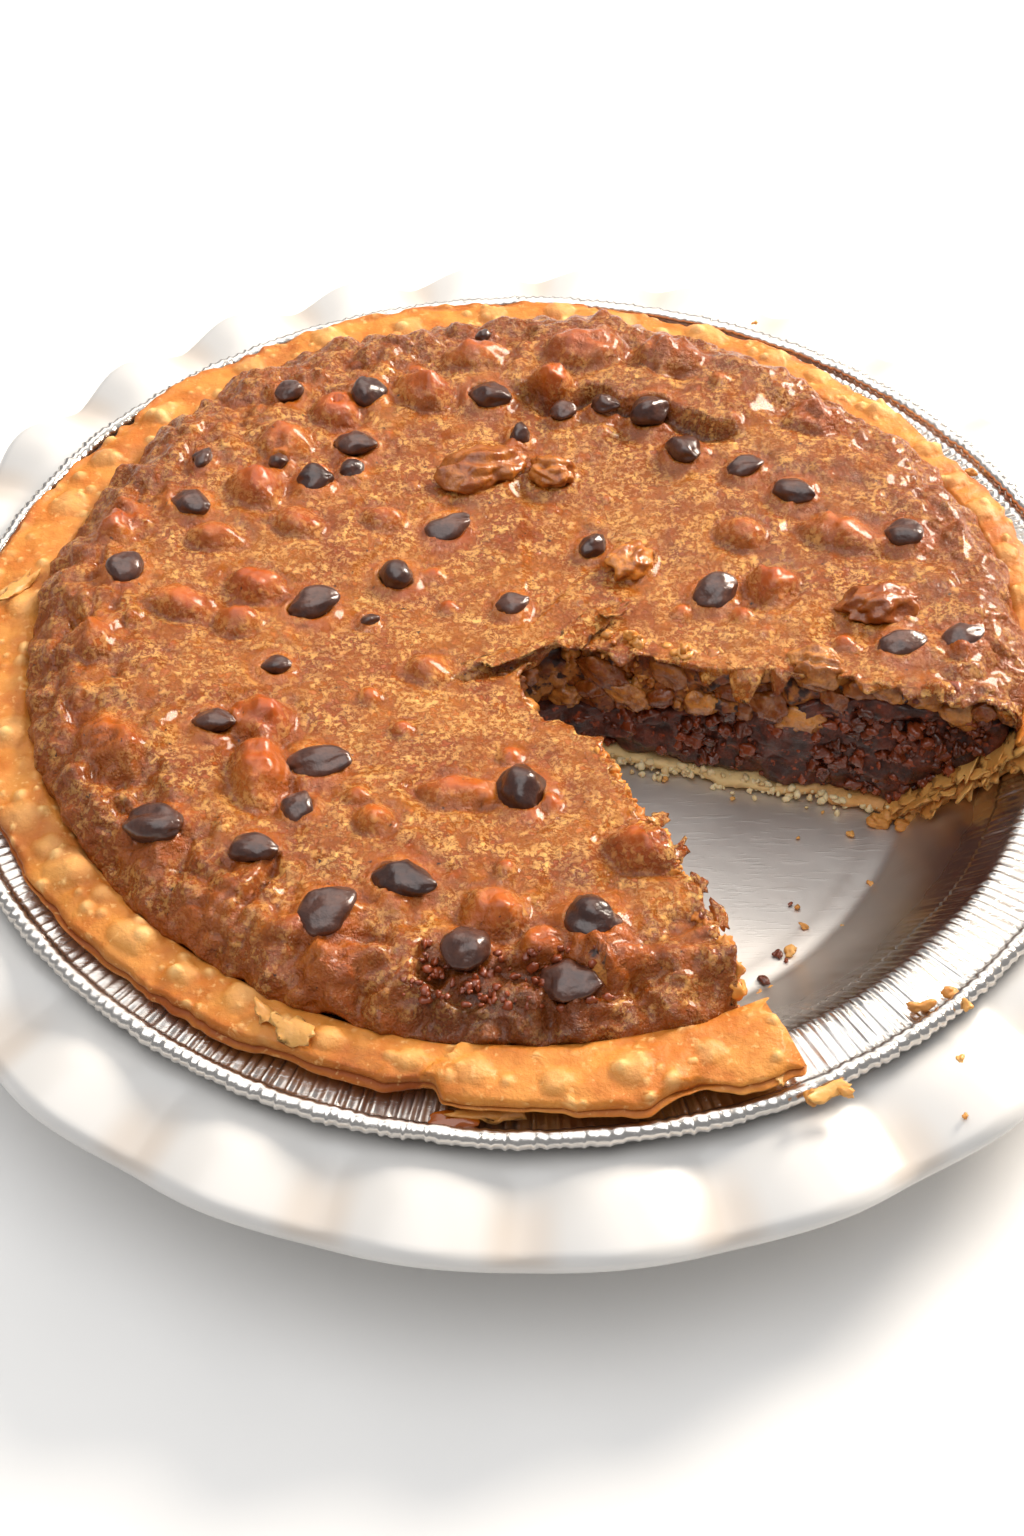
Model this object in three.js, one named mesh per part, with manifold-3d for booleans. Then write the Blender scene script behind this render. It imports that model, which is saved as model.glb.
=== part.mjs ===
// A chocolate nut pie with one slice taken out, in its foil tin, set in a ruffled ceramic pie dish.
// Millimetres, +Z up. The origin is the middle of the dish's foot, and the slice is missing at the
// front right, where -Y is the front. Every layer that shows at the cut runs through the whole pie.

import * as THREE from 'three';
import { mergeVertices } from 'three/addons/utils/BufferGeometryUtils.js';
import Module from 'manifold-3d';

const wasm = await Module();
wasm.setup();

// ---------------------------------------------------------------- driving dimensions

const GAP = 0.35; // clearance between neighbouring pieces
const WALL_GAP = 0.65; // and the same measured level across a sloping wall
const WELD = 1e-4; // vertices closer than this are one vertex

// Foil tin: a 244 mm pie tin with a rolled bead
const TIN_RADIUS = 122; // outside of the bead
const BEAD_HEIGHT = 36.5; // middle of the bead above the table
const BEAD_RADIUS = 1.7;
const BEAD_END = 144; // the foil rolls round the bead up to this angle, in degrees
const FOIL = 0.6; // drawn thicker than real foil, so that it stays a solid
const TIN_FLOOR_RADIUS = 84;
const TIN_FLOOR = BEAD_HEIGHT - 28; // upper face of the tin's floor
const FLANGE_RADIUS = 107.7; // where the sloping side turns out into the flange
const FLANGE_HEIGHT = BEAD_HEIGHT - 1.4;
const FLANGE_DISH = 0.5; // the flange rises this much towards the bead
const TIN_SEGMENTS = 56;

// Ceramic dish, about 284 mm over its ruffles
const FOOT_RADIUS = 88;
const FOOT_WIDTH = 8;
const FOOT_RECESS = 2.2;
const FOOT_SEGMENTS = 48;
const DISH_FLOOR_RADIUS = 87;
const DISH_FLOOR = TIN_FLOOR - FOIL - GAP;
const DISH_WALL = { radius: 111.5, height: 28.5 }; // where the inner wall turns out into the rim
const DISH_UNDER = { radius: 116, height: 25 }; // and the same turn underneath
const DISH_RIM = [{ radius: 119, height: 32.3 }, { radius: 131, height: 32.7 }]; // flat part of the rim
const DISH_EDGE_RADIUS = 142;
const DISH_EDGE_HEIGHT = 29;
const DISH_EDGE_THICKNESS = 5;
const DISH_EDGE_END = 75; // the round of the edge meets the rim at this angle, in degrees
const RUFFLES = 26;
const RUFFLE_START = 117; // the flutes grow outwards from this radius
const RUFFLE_FULL = 130;
const RUFFLE_RISE = 1;
const RUFFLE_REACH = 0.7;
const RUFFLE_VALLEY = -91; // azimuth of one valley, in degrees
const RUFFLE_UNEVEN = 0.07; // the flutes at the front are this much wider than the mean
const SAMPLES_PER_RUFFLE = 4;

// Pastry case
const CRUST_FLOOR = 2.6; // thickness of the pastry under the filling
const CRUST_WALL = 3.6;
const FLOOR_BEVEL = 1.4; // the case turns up from its floor over this height
const WALL_BEND = 28; // height at which the wall of the case leans out to the lip
const LIP_RADIUS = 114; // mean outer edge of the pastry lip on the flange
const LIP_LEAN = 2.6; // the lip is this much wider at LIP_WIDE_AZIMUTH than the mean
const LIP_WIDE_AZIMUTH = 150;
const LIP_INNER = 1.2; // the lip starts this far outside the layers under the skin
const LIP_HEIGHT = BEAD_HEIGHT + 3.9;
const LIP_TOP = 1.5; // points of the lip this close to its height are its upper face
const LIP_ROUGHNESS = 1.1;
const LIP_NOTCHES = 34; // lumps of that roughness round the pie
const UNDER_LIP = FLANGE_HEIGHT + 0.9;
const LIP_SECTION = [ // across the lip: share of the way out, height
  [0.9, UNDER_LIP + 0.7], [1, UNDER_LIP + 1.6], [0.96, LIP_HEIGHT - 0.9], [0.75, LIP_HEIGHT],
  [0.45, LIP_HEIGHT + 0.4], [0.18, LIP_HEIGHT], [0.06, LIP_HEIGHT - 1],
];
const BEAD_CLEAR = BEAD_HEIGHT + BEAD_RADIUS + GAP; // pastry that reaches over the bead stays above this
const BEAD_SLOPE = 0.5; // and rises this much more at its outer edge
const BEAD_NEAR = TIN_RADIUS - 3.2 * BEAD_RADIUS; // and it does from this radius
const PATCH = { from: -99, to: -60, reach: 3.6, widen: 3.4, rise: 0.9, step: 3 }; // wider front stretch
const NOTCH = { azimuth: -76.5, halfWidth: 4.5, depth: 3.2 }; // broken out of that stretch
const BLISTERS = 30;
const BLISTER_RISE = 1.7;
const BLISTER_SIZE = { least: 4, spread: 3 };
const BLISTER_MARGIN = { inner: 3, outer: 2.5 }; // from the edges of the lip
const PASTRY_LUMP = 7; // size and rise of the lip's own unevenness
const PASTRY_RISE = 0.5;
const CRUST_SEGMENTS = 78;

// Filling
const FILLING_RADIUS = 103.4;
const FILLING_WAVES = 16; // gentle bends round its edge, 1 mm each way
const LAYER_EDGE = FILLING_RADIUS - 2.4; // the layers under the skin end here
const FILLING_SWELL = { azimuth: 120, halfWidth: 24, reach: 2.4 }; // it runs wider here
const MIDDLE_HEIGHT = BEAD_HEIGHT + 6; // skin in the sunken middle
const SHOULDER_HEIGHT = BEAD_HEIGHT + 11.4; // skin on the raised shoulder
const SHOULDER_START = 90;
const SHOULDER_FOOT = LIP_HEIGHT + 0.6; // the skin comes down to here at its edge
const SHOULDER_ROUNDNESS = 3.2;
const SKIN_BORDER = 1.6; // width of the outermost ring of the skin
const MIDDLE_RADIUS = 15; // the skin is flat inside this radius
const CHOCOLATE_MIDDLE = 23; // top of the chocolate layer in the middle
const CHOCOLATE_CREST = 40.2; // and on the shoulder
const CHOCOLATE_EDGE = 37.5; // and against the pastry
const CHOCOLATE_INNER = 24; // the chocolate rises between these radii
const CHOCOLATE_OUTER = 73;
const CHOCOLATE_FALL = 93; // and falls again from this one
const CHOCOLATE_SEGMENTS = 48;
const WALL_TOP = FLANGE_HEIGHT - 1; // where the fillings and the case reach their full radius
const NUT_SEGMENTS = 70;
const SKIN_RINGS = 14;
const RING_CROWDING = 0.8; // below 1, the rings lie closer together further out

// The missing slice: two cuts, each a line at an azimuth, shifted sideways from the middle
const FRONT_CUT = { azimuth: -67.7, shift: -2 };
const BACK_CUT = { azimuth: -14.7, shift: -2.4 };
const CUT_REACH = 150;
const CUT_STEP = 6;
const CUT_LEVELS = 9;
const CUT_BOTTOM = 5;
const CUT_TOP = 56;
const CUT_GRAIN = 8; // size of the crags on a cut face
const CRUST_CUT = { roughness: 0.9, seed: 5 };
const CHOCOLATE_CUT = { roughness: 1.3, seed: 11 };
const NUT_CUT = { roughness: 2, seed: 15 };
const TIP_BREAK = [[3, -7], [-2, -13], [-1.5, -21], [3.5, -29]]; // where the tip crumbled away
const BACK_TIP = 10; // distance from the middle at which the straight cuts begin
const FRONT_TIP = 36;
const CRUST_LEDGE = 2; // the floor pastry stands out this far past the filling at the back cut
const WALL_FLAKES = 5; // and the torn side wall this far
const FLAKE_SIZE = 4;
const FLAKES_START = TIN_FLOOR_RADIUS - 6; // the wall begins to flake between these radii
const FLAKES_FULL = TIN_FLOOR_RADIUS + 4;
const LIP_LEDGE = 4.2; // the lip stands out this far past the filling at the front cut

// Chocolate morsels on the skin: [x, y, length, width, turn in degrees]
const MORSELS = [
  [-54.3, 70.4, 7, 6, 30], [-36.4, 69.6, 9, 8, 100], [-38.5, 53.3, 11, 7, -10],
  [-46.8, 41.2, 8.5, 7, 0], [-39.0, 45.4, 6, 5.5, 20], [-55.1, 46.8, 5, 4.5, 0],
  [-72.1, 46.7, 5.5, 5, 60], [-73.5, 32.1, 11, 7, -35], [-84.6, 10.8, 8.5, 7.5, 80],
  [-8.2, 69.4, 11.5, 8, -20], [-9.5, 91.3, 4, 4, 0], [-1.3, 57.8, 5.5, 5, 90], [8.6, 64.5, 6, 5, 0],
  [18.3, 66.1, 7.5, 5.5, -30], [28.6, 63.7, 9.5, 9, 20], [35.6, 51.6, 9.5, 7.5, -50],
  [48.8, 44.8, 9, 5.5, 10], [58.7, 36.2, 10, 6.5, -35], [81.1, 21.2, 9, 7, -25],
  [88.8, -10.2, 8.5, 6, 15], [75.7, -12.0, 10, 6.5, 5], [-17.3, 28.8, 11, 6.5, 20],
  [-27.9, 13.0, 9, 8.5, -40], [-45.2, 2.7, 11.5, 8, 15], [-3.1, 5.5, 7.5, 5.5, 10],
  [-33.1, 0.0, 4.5, 3.6, 0], [-51.4, -14.8, 7.5, 5, -10], [39.5, 7.4, 10, 8.5, 25],
  [14.2, 23.4, 7, 5.5, 50], [-62.2, -31.9, 10, 6, -15], [-41.7, -42.1, 13.5, 6.5, 5],
  [-70.6, -58.9, 12.5, 8, -15], [-51.6, -64.8, 9.5, 6, -10], [-44.0, -53.6, 7.5, 6, 70],
  [-23.8, -72.8, 12.5, 8, -20], [-37.3, -79.7, 11.5, 8.5, 40], [-2.0, -48.3, 11.5, 10.5, 110],
  [10.8, -81.5, 10.5, 10, -50], [-11.5, -88.0, 9.5, 9, 60], [6.6, -94.4, 12, 9, -15],
];
const MORSEL_HEIGHT = 0.78; // of its width
const MORSEL_SUNK = 0.12; // its middle stands this share of its height above the skin
const MORSEL_LEAN = 14; // degrees that the tip points up
const MORSEL_TAPER = 0.35;
const MORSEL_SIDES = 5;

// Walnut pieces that stand bare in the skin: [x, y, length, width, turn in degrees]
const WALNUTS = [
  [-9.9, 45.6, 17, 11.5, 12], [5.4, 45.0, 10, 8.5, -20], [22.4, 18.6, 10, 9, 40],
  [72.8, -0.2, 15, 10, 10],
];
const WALNUT_HEIGHT = 0.7; // of its width
const WALNUT_PROUD = 0.4; // its middle stands this far above the skin
const WALNUT_FURROW = { depth: 0.2, halfWidth: 0.4 }; // shares of its half length
const WALNUT_ROUGHNESS = 0.1;
const WALNUT_GRAIN = 2.5; // folds across half a walnut piece

// Nuts and swellings under the skin: [x, y, half length, half width, turn in degrees, rise]
const SWELLINGS = [
  [-23.2, 71, 8, 6.5, -25, 4], [-43, 64.7, 6.5, 6.5, 0, 3.4], [6.4, 73, 6, 6, 0, 3.8],
  [-59.4, 38.9, 7.5, 7, -30, 3.4], [-57.1, 8.8, 7.5, 6, -20, 3.4], [-60.5, -2, 6, 5, 10, 2.6],
  [-72, 2, 9, 5.5, -15, 2.6], [-31.2, 31, 6, 4.5, 0, 2], [-49.5, 27.9, 7, 5, -20, 2],
  [46.7, 25.1, 6.5, 5, -30, 2.3], [51.8, 8.8, 6.5, 7, 0, 3.2], [-53, -30, 7, 8, 80, 4],
  [-52, -44, 6.5, 11, 5, 4.2], [-29.5, -57.2, 4.5, 4.5, 0, 2.6], [-14, -48.6, 9, 5.5, 0, 2.6],
  [-20.3, -13, 6, 5, 0, 2], [14.5, -89.6, 7.5, 6.5, 0, 3.6], [-6.7, -79, 7, 6, 0, 3],
  [1.6, -86.4, 5, 5, 0, 3.2], [-81.9, -37.6, 10, 7, -50, 2.6], [65.8, 61.2, 8, 6, -20, 3],
  [67.6, 23.2, 11, 6, -25, 2.6], [-54.3, 54, 7, 6, 0, 2.6], [21.3, -64, 8, 6.5, -30, 4.2],
  [-88, 26.5, 8.5, 7, 50, 2.6], [-67.4, 22.6, 7, 4.5, 0, 2.2], [-36, -91, 10, 7, 20, 3.2],
  [14, 85, 11, 7, 0, 3.4], [34, 82, 10, 7, -20, 3.2], [-12, 84, 9, 6, 10, 2.6], [-88, -8, 6, 8, 0, 2],
  [-62, -80, 9, 7, 40, 2],
];
const SKIN_LUMP = 16; // size and rise of the skin's own unevenness
const SKIN_RISE = 0.7;
const CRUMBLED = { from: -104, to: -82, inner: 92, sink: 2.4, blend: 4 }; // the skin is broken away here

// ---------------------------------------------------------------- small helpers

const radians = THREE.MathUtils.degToRad;
const smoothstep = THREE.MathUtils.smoothstep;

/** The angle from one azimuth to another, in degrees, between -180 and 180. */
function turnBetween(azimuth, other) {
  return THREE.MathUtils.euclideanModulo(azimuth - other + 180, 360) - 180;
}

/** A soft hump: 1 where q is 0, falling to 0 where q is 1. */
function hump(q) {
  const left = Math.max(0, 1 - q * q);
  return left * left;
}

/** A repeatable random number from 0 to 1 for a lattice point. */
function scatter(i, j, k) {
  const value = Math.sin(i * 127.1 + j * 311.7 + k * 74.7) * 43758.5453;
  return value - Math.floor(value);
}

/** A smooth random field from -1 to 1, with lumps about one unit across. */
function lumps(x, y, z) {
  const [i, j, k] = [x, y, z].map(Math.floor);
  const [u, v, w] = [x - i, y - j, z - k].map((t) => t * t * (3 - 2 * t));
  let sum = 0;
  for (let corner = 0; corner < 8; corner += 1) {
    const [a, b, c] = [corner % 2, Math.floor(corner / 2) % 2, Math.floor(corner / 4)];
    const weight = (a ? u : 1 - u) * (b ? v : 1 - v) * (c ? w : 1 - w);
    sum += weight * scatter(i + a, j + b, k + c);
  }
  return 2 * sum - 1;
}

/** The same field read round a circle, so that it closes on itself. */
function lumpsRound(azimuth, count, seed) {
  const turn = radians(azimuth);
  const reach = count / (2 * Math.PI);
  return lumps(reach * Math.cos(turn) + 50, reach * Math.sin(turn) + 50, seed);
}

/** Turns a profile, with x as radius and y as height, about the upright axis. */
function revolve(path, segments, divisions) {
  return new THREE.LatheGeometry(path.getPoints(divisions), segments).rotateX(Math.PI / 2);
}

/** Moves every vertex of a geometry by a function that changes its point. */
function reshape(geometry, change) {
  const places = geometry.attributes.position;
  const point = new THREE.Vector3();
  for (let i = 0; i < places.count; i += 1) {
    point.fromBufferAttribute(places, i);
    change(point);
    places.setXYZ(i, point.x, point.y, point.z);
  }
  return geometry;
}

/** Welds a geometry into one closed solid. */
function solidOf(geometry) {
  geometry.deleteAttribute('normal');
  geometry.deleteAttribute('uv');
  const welded = mergeVertices(geometry, WELD);
  const corners = welded.index.array;
  const kept = [];
  for (let i = 0; i < corners.length; i += 3) {
    const [a, b, c] = [corners[i], corners[i + 1], corners[i + 2]];
    if (a !== b && b !== c && c !== a) kept.push(a, b, c);
  }
  const triVerts = new Uint32Array(kept);
  const vertProperties = welded.attributes.position.array;
  return new wasm.Manifold(new wasm.Mesh({ numProp: 3, vertProperties, triVerts }));
}

/** The biggest piece of a cut solid, as a geometry: loose scraps are dropped. */
function geometryOf(solid) {
  const pieces = solid.decompose();
  pieces.sort((a, b) => b.volume() - a.volume());
  const mesh = pieces[0].getMesh();
  const geometry = new THREE.BufferGeometry();
  geometry.setAttribute('position', new THREE.BufferAttribute(mesh.vertProperties, 3));
  geometry.setIndex(new THREE.BufferAttribute(mesh.triVerts, 1));
  geometry.computeVertexNormals();
  return geometry;
}

/** A named piece with its own material. */
function piece(name, geometry, color, roughness, metalness = 0) {
  const material = new THREE.MeshStandardMaterial({ color, roughness, metalness });
  const mesh = new THREE.Mesh(geometry, material);
  mesh.name = name;
  return mesh;
}

// ---------------------------------------------------------------- dish

/** How far a point of the rim is up its flute, from -1 in a valley to 1 on a crest. */
function flute(azimuth) {
  const turn = turnBetween(azimuth, RUFFLE_VALLEY);
  const warped = turn - RUFFLE_UNEVEN * THREE.MathUtils.radToDeg(Math.sin(radians(turn)));
  return -Math.cos(radians(warped) * RUFFLES);
}

function buildDish() {
  const section = new THREE.Path();
  const edge = DISH_EDGE_THICKNESS / 2;
  section.moveTo(0, 0);
  section.lineTo(FOOT_RADIUS, 0);
  section.lineTo(DISH_UNDER.radius, DISH_UNDER.height);
  section.absarc(DISH_EDGE_RADIUS - edge, DISH_EDGE_HEIGHT, edge, -Math.PI / 2, radians(DISH_EDGE_END));
  section.lineTo(DISH_RIM[1].radius, DISH_RIM[1].height);
  section.lineTo(DISH_RIM[0].radius, DISH_RIM[0].height);
  section.lineTo(DISH_WALL.radius, DISH_WALL.height);
  section.lineTo(DISH_FLOOR_RADIUS, DISH_FLOOR);
  section.lineTo(0, DISH_FLOOR);
  const shell = reshape(revolve(section, RUFFLES * SAMPLES_PER_RUFFLE, 1), (point) => {
    const radius = Math.hypot(point.x, point.y);
    const azimuth = THREE.MathUtils.radToDeg(Math.atan2(point.y, point.x));
    const wave = flute(azimuth) * smoothstep(radius, RUFFLE_START, RUFFLE_FULL);
    const stretch = radius > 0 ? 1 + (RUFFLE_REACH * wave) / radius : 1;
    point.set(point.x * stretch, point.y * stretch, point.z + RUFFLE_RISE * wave);
  });
  const inner = FOOT_RADIUS - FOOT_WIDTH;
  const recess = new THREE.CylinderGeometry(inner, inner, 2 * FOOT_RECESS, FOOT_SEGMENTS);
  recess.rotateX(Math.PI / 2);
  return geometryOf(solidOf(shell).subtract(solidOf(recess)));
}

// ---------------------------------------------------------------- tin

/** Radius of the tin's inner face at a height. */
function tinWall(height) {
  const share = (height - TIN_FLOOR) / (FLANGE_HEIGHT - TIN_FLOOR);
  return THREE.MathUtils.lerp(TIN_FLOOR_RADIUS, FLANGE_RADIUS, share);
}

function buildTin() {
  const section = new THREE.Path();
  const beadMiddle = TIN_RADIUS - BEAD_RADIUS;
  const under = (radius, height) => [radius + FOIL, height - FOIL];
  section.moveTo(0, TIN_FLOOR - FOIL);
  section.lineTo(...under(TIN_FLOOR_RADIUS - FOIL, TIN_FLOOR));
  section.lineTo(...under(TIN_FLOOR_RADIUS + FOIL, TIN_FLOOR + FOIL));
  section.lineTo(...under(FLANGE_RADIUS, FLANGE_HEIGHT));
  section.absarc(beadMiddle, BEAD_HEIGHT, BEAD_RADIUS, -Math.PI / 2, radians(BEAD_END));
  section.lineTo(beadMiddle - BEAD_RADIUS, FLANGE_HEIGHT + FLANGE_DISH);
  section.lineTo(FLANGE_RADIUS, FLANGE_HEIGHT);
  section.lineTo(TIN_FLOOR_RADIUS, TIN_FLOOR);
  section.lineTo(0, TIN_FLOOR);
  return revolve(section, TIN_SEGMENTS, 2);
}

// ---------------------------------------------------------------- the slice that is gone

/** The points of one straight cut, from near the middle outwards, each off the line at random. */
function cutEdge(cut, start, roughness, seed) {
  const along = radians(cut.azimuth);
  const points = [];
  for (let s = start; s < CUT_REACH; s += CUT_STEP) {
    const off = cut.shift + roughness * lumps(s / CUT_GRAIN, seed, 0);
    const x = s * Math.cos(along) - off * Math.sin(along);
    const y = s * Math.sin(along) + off * Math.cos(along);
    points.push(new THREE.Vector2(x, y));
  }
  return points;
}

/**
 * A ragged upright wedge the shape of the missing slice, which cuts every layer. The ledge is how far
 * the layer stands out into the gap past each cut, at a radius and a height.
 */
function sliceSolid({ roughness, seed }, ledge = () => 0) {
  const front = cutEdge(FRONT_CUT, FRONT_TIP, roughness, seed);
  const back = cutEdge(BACK_CUT, BACK_TIP, roughness, seed + 20);
  const tip = TIP_BREAK.map(([x, y]) => new THREE.Vector2(x, y));
  const outline = new THREE.Shape([...front, ...back.reverse(), ...tip]);
  const depth = CUT_TOP - CUT_BOTTOM;
  const wedge = new THREE.ExtrudeGeometry(outline, { depth, steps: CUT_LEVELS, bevelEnabled: false });
  wedge.translate(0, 0, CUT_BOTTOM);
  reshape(wedge, (point) => {
    const { x, y, z } = point;
    const radius = Math.hypot(x, y);
    for (const [cut, inwards] of [[FRONT_CUT, 1], [BACK_CUT, -1]]) {
      const [sine, cosine] = [Math.sin(radians(cut.azimuth)), Math.cos(radians(cut.azimuth))];
      const onCut = Math.abs(y * cosine - x * sine - cut.shift) < 2 * roughness && radius > BACK_TIP;
      const inset = onCut ? inwards * ledge(cut, radius, z) : 0;
      point.x -= inset * sine;
      point.y += inset * cosine;
    }
    const [u, v, w] = [x / CUT_GRAIN, y / CUT_GRAIN, z / CUT_GRAIN];
    point.x += roughness * lumps(u, v, w + seed);
    point.y += roughness * lumps(u, v, w - seed);
  });
  return solidOf(wedge);
}

// ---------------------------------------------------------------- pastry case

/** Outer radius of the filling at an azimuth. */
function fillingEdge(azimuth) {
  const swell = hump(turnBetween(azimuth, FILLING_SWELL.azimuth) / FILLING_SWELL.halfWidth);
  return FILLING_RADIUS + FILLING_SWELL.reach * swell + lumpsRound(azimuth, FILLING_WAVES, 3);
}

/** 1 on the wider stretch of the lip and 0 off it, with a short step at its ends. */
function onPatch(azimuth) {
  return smoothstep(azimuth, PATCH.from, PATCH.from + PATCH.step)
    * smoothstep(-azimuth, -PATCH.to, -PATCH.to + PATCH.step);
}

/** Outer radius of the pastry lip at an azimuth. */
function lipEdge(azimuth) {
  const lean = LIP_LEAN * Math.cos(radians(azimuth - LIP_WIDE_AZIMUTH));
  const rough = LIP_ROUGHNESS * lumpsRound(azimuth, LIP_NOTCHES, 7);
  const along = THREE.MathUtils.inverseLerp(PATCH.from, PATCH.to, azimuth);
  const patch = (PATCH.reach + PATCH.widen * along) * onPatch(azimuth);
  const notch = NOTCH.depth * hump(turnBetween(azimuth, NOTCH.azimuth) / NOTCH.halfWidth);
  return LIP_RADIUS + lean + rough + patch - notch;
}

/** The baked bubbles of the lip: where each one is, and how high. */
function blisterPlaces() {
  const places = [];
  for (let i = 0; i < BLISTERS; i += 1) {
    const azimuth = (360 * (i + 0.8 * scatter(i, 1, 5))) / BLISTERS - 180;
    const inner = fillingEdge(azimuth) + BLISTER_MARGIN.inner;
    const outer = lipEdge(azimuth) - BLISTER_MARGIN.outer;
    const radius = THREE.MathUtils.lerp(inner, outer, scatter(i, 2, 5));
    const size = BLISTER_SIZE.least + BLISTER_SIZE.spread * scatter(i, 3, 5);
    const turn = radians(azimuth);
    const rise = BLISTER_RISE * (0.5 + 0.5 * scatter(i, 4, 5));
    places.push({ x: radius * Math.cos(turn), y: radius * Math.sin(turn), size, rise });
  }
  return places;
}

function buildCrust() {
  const wallRadius = (height) => tinWall(height) - WALL_GAP;
  const floor = TIN_FLOOR + GAP;
  const section = new THREE.Path();
  section.moveTo(0, floor);
  section.lineTo(wallRadius(TIN_FLOOR) - 1, floor);
  section.lineTo(wallRadius(TIN_FLOOR + FLOOR_BEVEL), TIN_FLOOR + FLOOR_BEVEL);
  section.lineTo(wallRadius(WALL_TOP), WALL_TOP);
  section.lineTo(FLANGE_RADIUS - GAP, UNDER_LIP);
  for (const [share, height] of LIP_SECTION) {
    section.lineTo(THREE.MathUtils.lerp(FILLING_RADIUS, LIP_RADIUS, share), height);
  }
  section.lineTo(LAYER_EDGE + LIP_INNER, WALL_TOP);
  section.lineTo(wallRadius(WALL_BEND) - CRUST_WALL, WALL_BEND);
  section.lineTo(TIN_FLOOR_RADIUS - CRUST_FLOOR, floor + CRUST_FLOOR);
  section.lineTo(0, floor + CRUST_FLOOR);
  const blisters = blisterPlaces();
  const shell = reshape(revolve(section, CRUST_SEGMENTS, 1), (point) => {
    const radius = Math.hypot(point.x, point.y);
    if (radius < FILLING_RADIUS || point.z < UNDER_LIP + GAP) return;
    const azimuth = THREE.MathUtils.radToDeg(Math.atan2(point.y, point.x));
    const share = (radius - FILLING_RADIUS) / (LIP_RADIUS - FILLING_RADIUS);
    const reach = THREE.MathUtils.lerp(fillingEdge(azimuth) + GAP, lipEdge(azimuth), share);
    point.multiply(new THREE.Vector3(reach / radius, reach / radius, 1));
    if (reach > BEAD_NEAR) point.z = Math.max(point.z, BEAD_CLEAR + BEAD_SLOPE * share);
    const upper = smoothstep(point.z, LIP_HEIGHT - LIP_TOP, LIP_HEIGHT);
    let rise = PASTRY_RISE * lumps(point.x / PASTRY_LUMP, point.y / PASTRY_LUMP, 4);
    rise += PATCH.rise * onPatch(azimuth);
    for (const blister of blisters) {
      const away = Math.hypot(point.x - blister.x, point.y - blister.y);
      rise += blister.rise * hump(away / blister.size);
    }
    point.z += upper * rise;
  });
  const torn = sliceSolid(CRUST_CUT, (cut, radius, height) => {
    const wall = smoothstep(radius, FLAKES_START, FLAKES_FULL);
    const flaky = 0.5 + 0.5 * lumps(radius / FLAKE_SIZE, height / FLAKE_SIZE, 9);
    return cut === BACK_CUT ? CRUST_LEDGE + wall * WALL_FLAKES * flaky : wall * LIP_LEDGE;
  });
  return geometryOf(solidOf(shell).subtract(torn));
}

// ---------------------------------------------------------------- filling

/** Outer radius of the filling inside the pastry wall, at a height. */
function fillingWall(height) {
  return tinWall(height) - 2 * WALL_GAP - CRUST_WALL;
}

function buildChocolateLayer() {
  const floor = TIN_FLOOR + GAP + CRUST_FLOOR + GAP;
  const section = new THREE.Path();
  section.moveTo(0, floor);
  section.lineTo(TIN_FLOOR_RADIUS - CRUST_FLOOR - 2 * GAP, floor);
  section.lineTo(fillingWall(WALL_BEND), WALL_BEND);
  section.lineTo(LAYER_EDGE, WALL_TOP);
  section.lineTo(LAYER_EDGE, CHOCOLATE_EDGE);
  section.lineTo(CHOCOLATE_FALL, CHOCOLATE_CREST);
  section.lineTo(CHOCOLATE_OUTER, CHOCOLATE_CREST);
  section.lineTo(CHOCOLATE_INNER, CHOCOLATE_MIDDLE);
  section.lineTo(0, CHOCOLATE_MIDDLE);
  const disc = solidOf(revolve(section, CHOCOLATE_SEGMENTS, 1));
  return geometryOf(disc.subtract(sliceSolid(CHOCOLATE_CUT)));
}

/** Height of the baked skin at a place on the pie. */
function skinHeight(x, y) {
  const radius = Math.hypot(x, y);
  const azimuth = THREE.MathUtils.radToDeg(Math.atan2(y, x));
  const edge = fillingEdge(azimuth);
  const climb = smoothstep(radius, MIDDLE_RADIUS, SHOULDER_START);
  let height = THREE.MathUtils.lerp(MIDDLE_HEIGHT, SHOULDER_HEIGHT, climb);
  height += SKIN_RISE * lumps(x / SKIN_LUMP, y / SKIN_LUMP, 1);
  for (const [cx, cy, length, width, turn, rise] of SWELLINGS) {
    const away = new THREE.Vector2(x - cx, y - cy).rotateAround(new THREE.Vector2(), radians(-turn));
    height += rise * hump(Math.hypot(away.x / length, away.y / width));
  }
  const { from, to, inner, sink, blend } = CRUMBLED;
  const along = smoothstep(azimuth, from, from + blend) * smoothstep(-azimuth, -to, -to + blend);
  const broken = along * smoothstep(radius, inner - blend, inner);
  height -= broken * sink * (0.6 + 0.4 * lumps(x / blend, y / blend, 2));
  const over = THREE.MathUtils.clamp((radius - SHOULDER_START) / (edge - SHOULDER_START), 0, 1);
  return THREE.MathUtils.lerp(height, SHOULDER_FOOT, over ** SHOULDER_ROUNDNESS);
}

/** A chocolate morsel: a drop that lies on its side, half sunk, grown by a clearance all round. */
function morselGeometry([x, y, length, width, turn], clearance) {
  const height = MORSEL_HEIGHT * width;
  const drop = reshape(new THREE.SphereGeometry(1, MORSEL_SIDES, 4), (point) => {
    const narrow = 1 - MORSEL_TAPER * Math.max(0, point.y);
    point.set(point.x * narrow, point.y, point.z * narrow);
  });
  drop.scale(width / 2 + clearance, length / 2 + clearance, height / 2 + clearance);
  drop.rotateX(radians(MORSEL_LEAN)).rotateZ(radians(turn - 90));
  return drop.translate(x, y, skinHeight(x, y) + MORSEL_SUNK * height);
}

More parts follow.
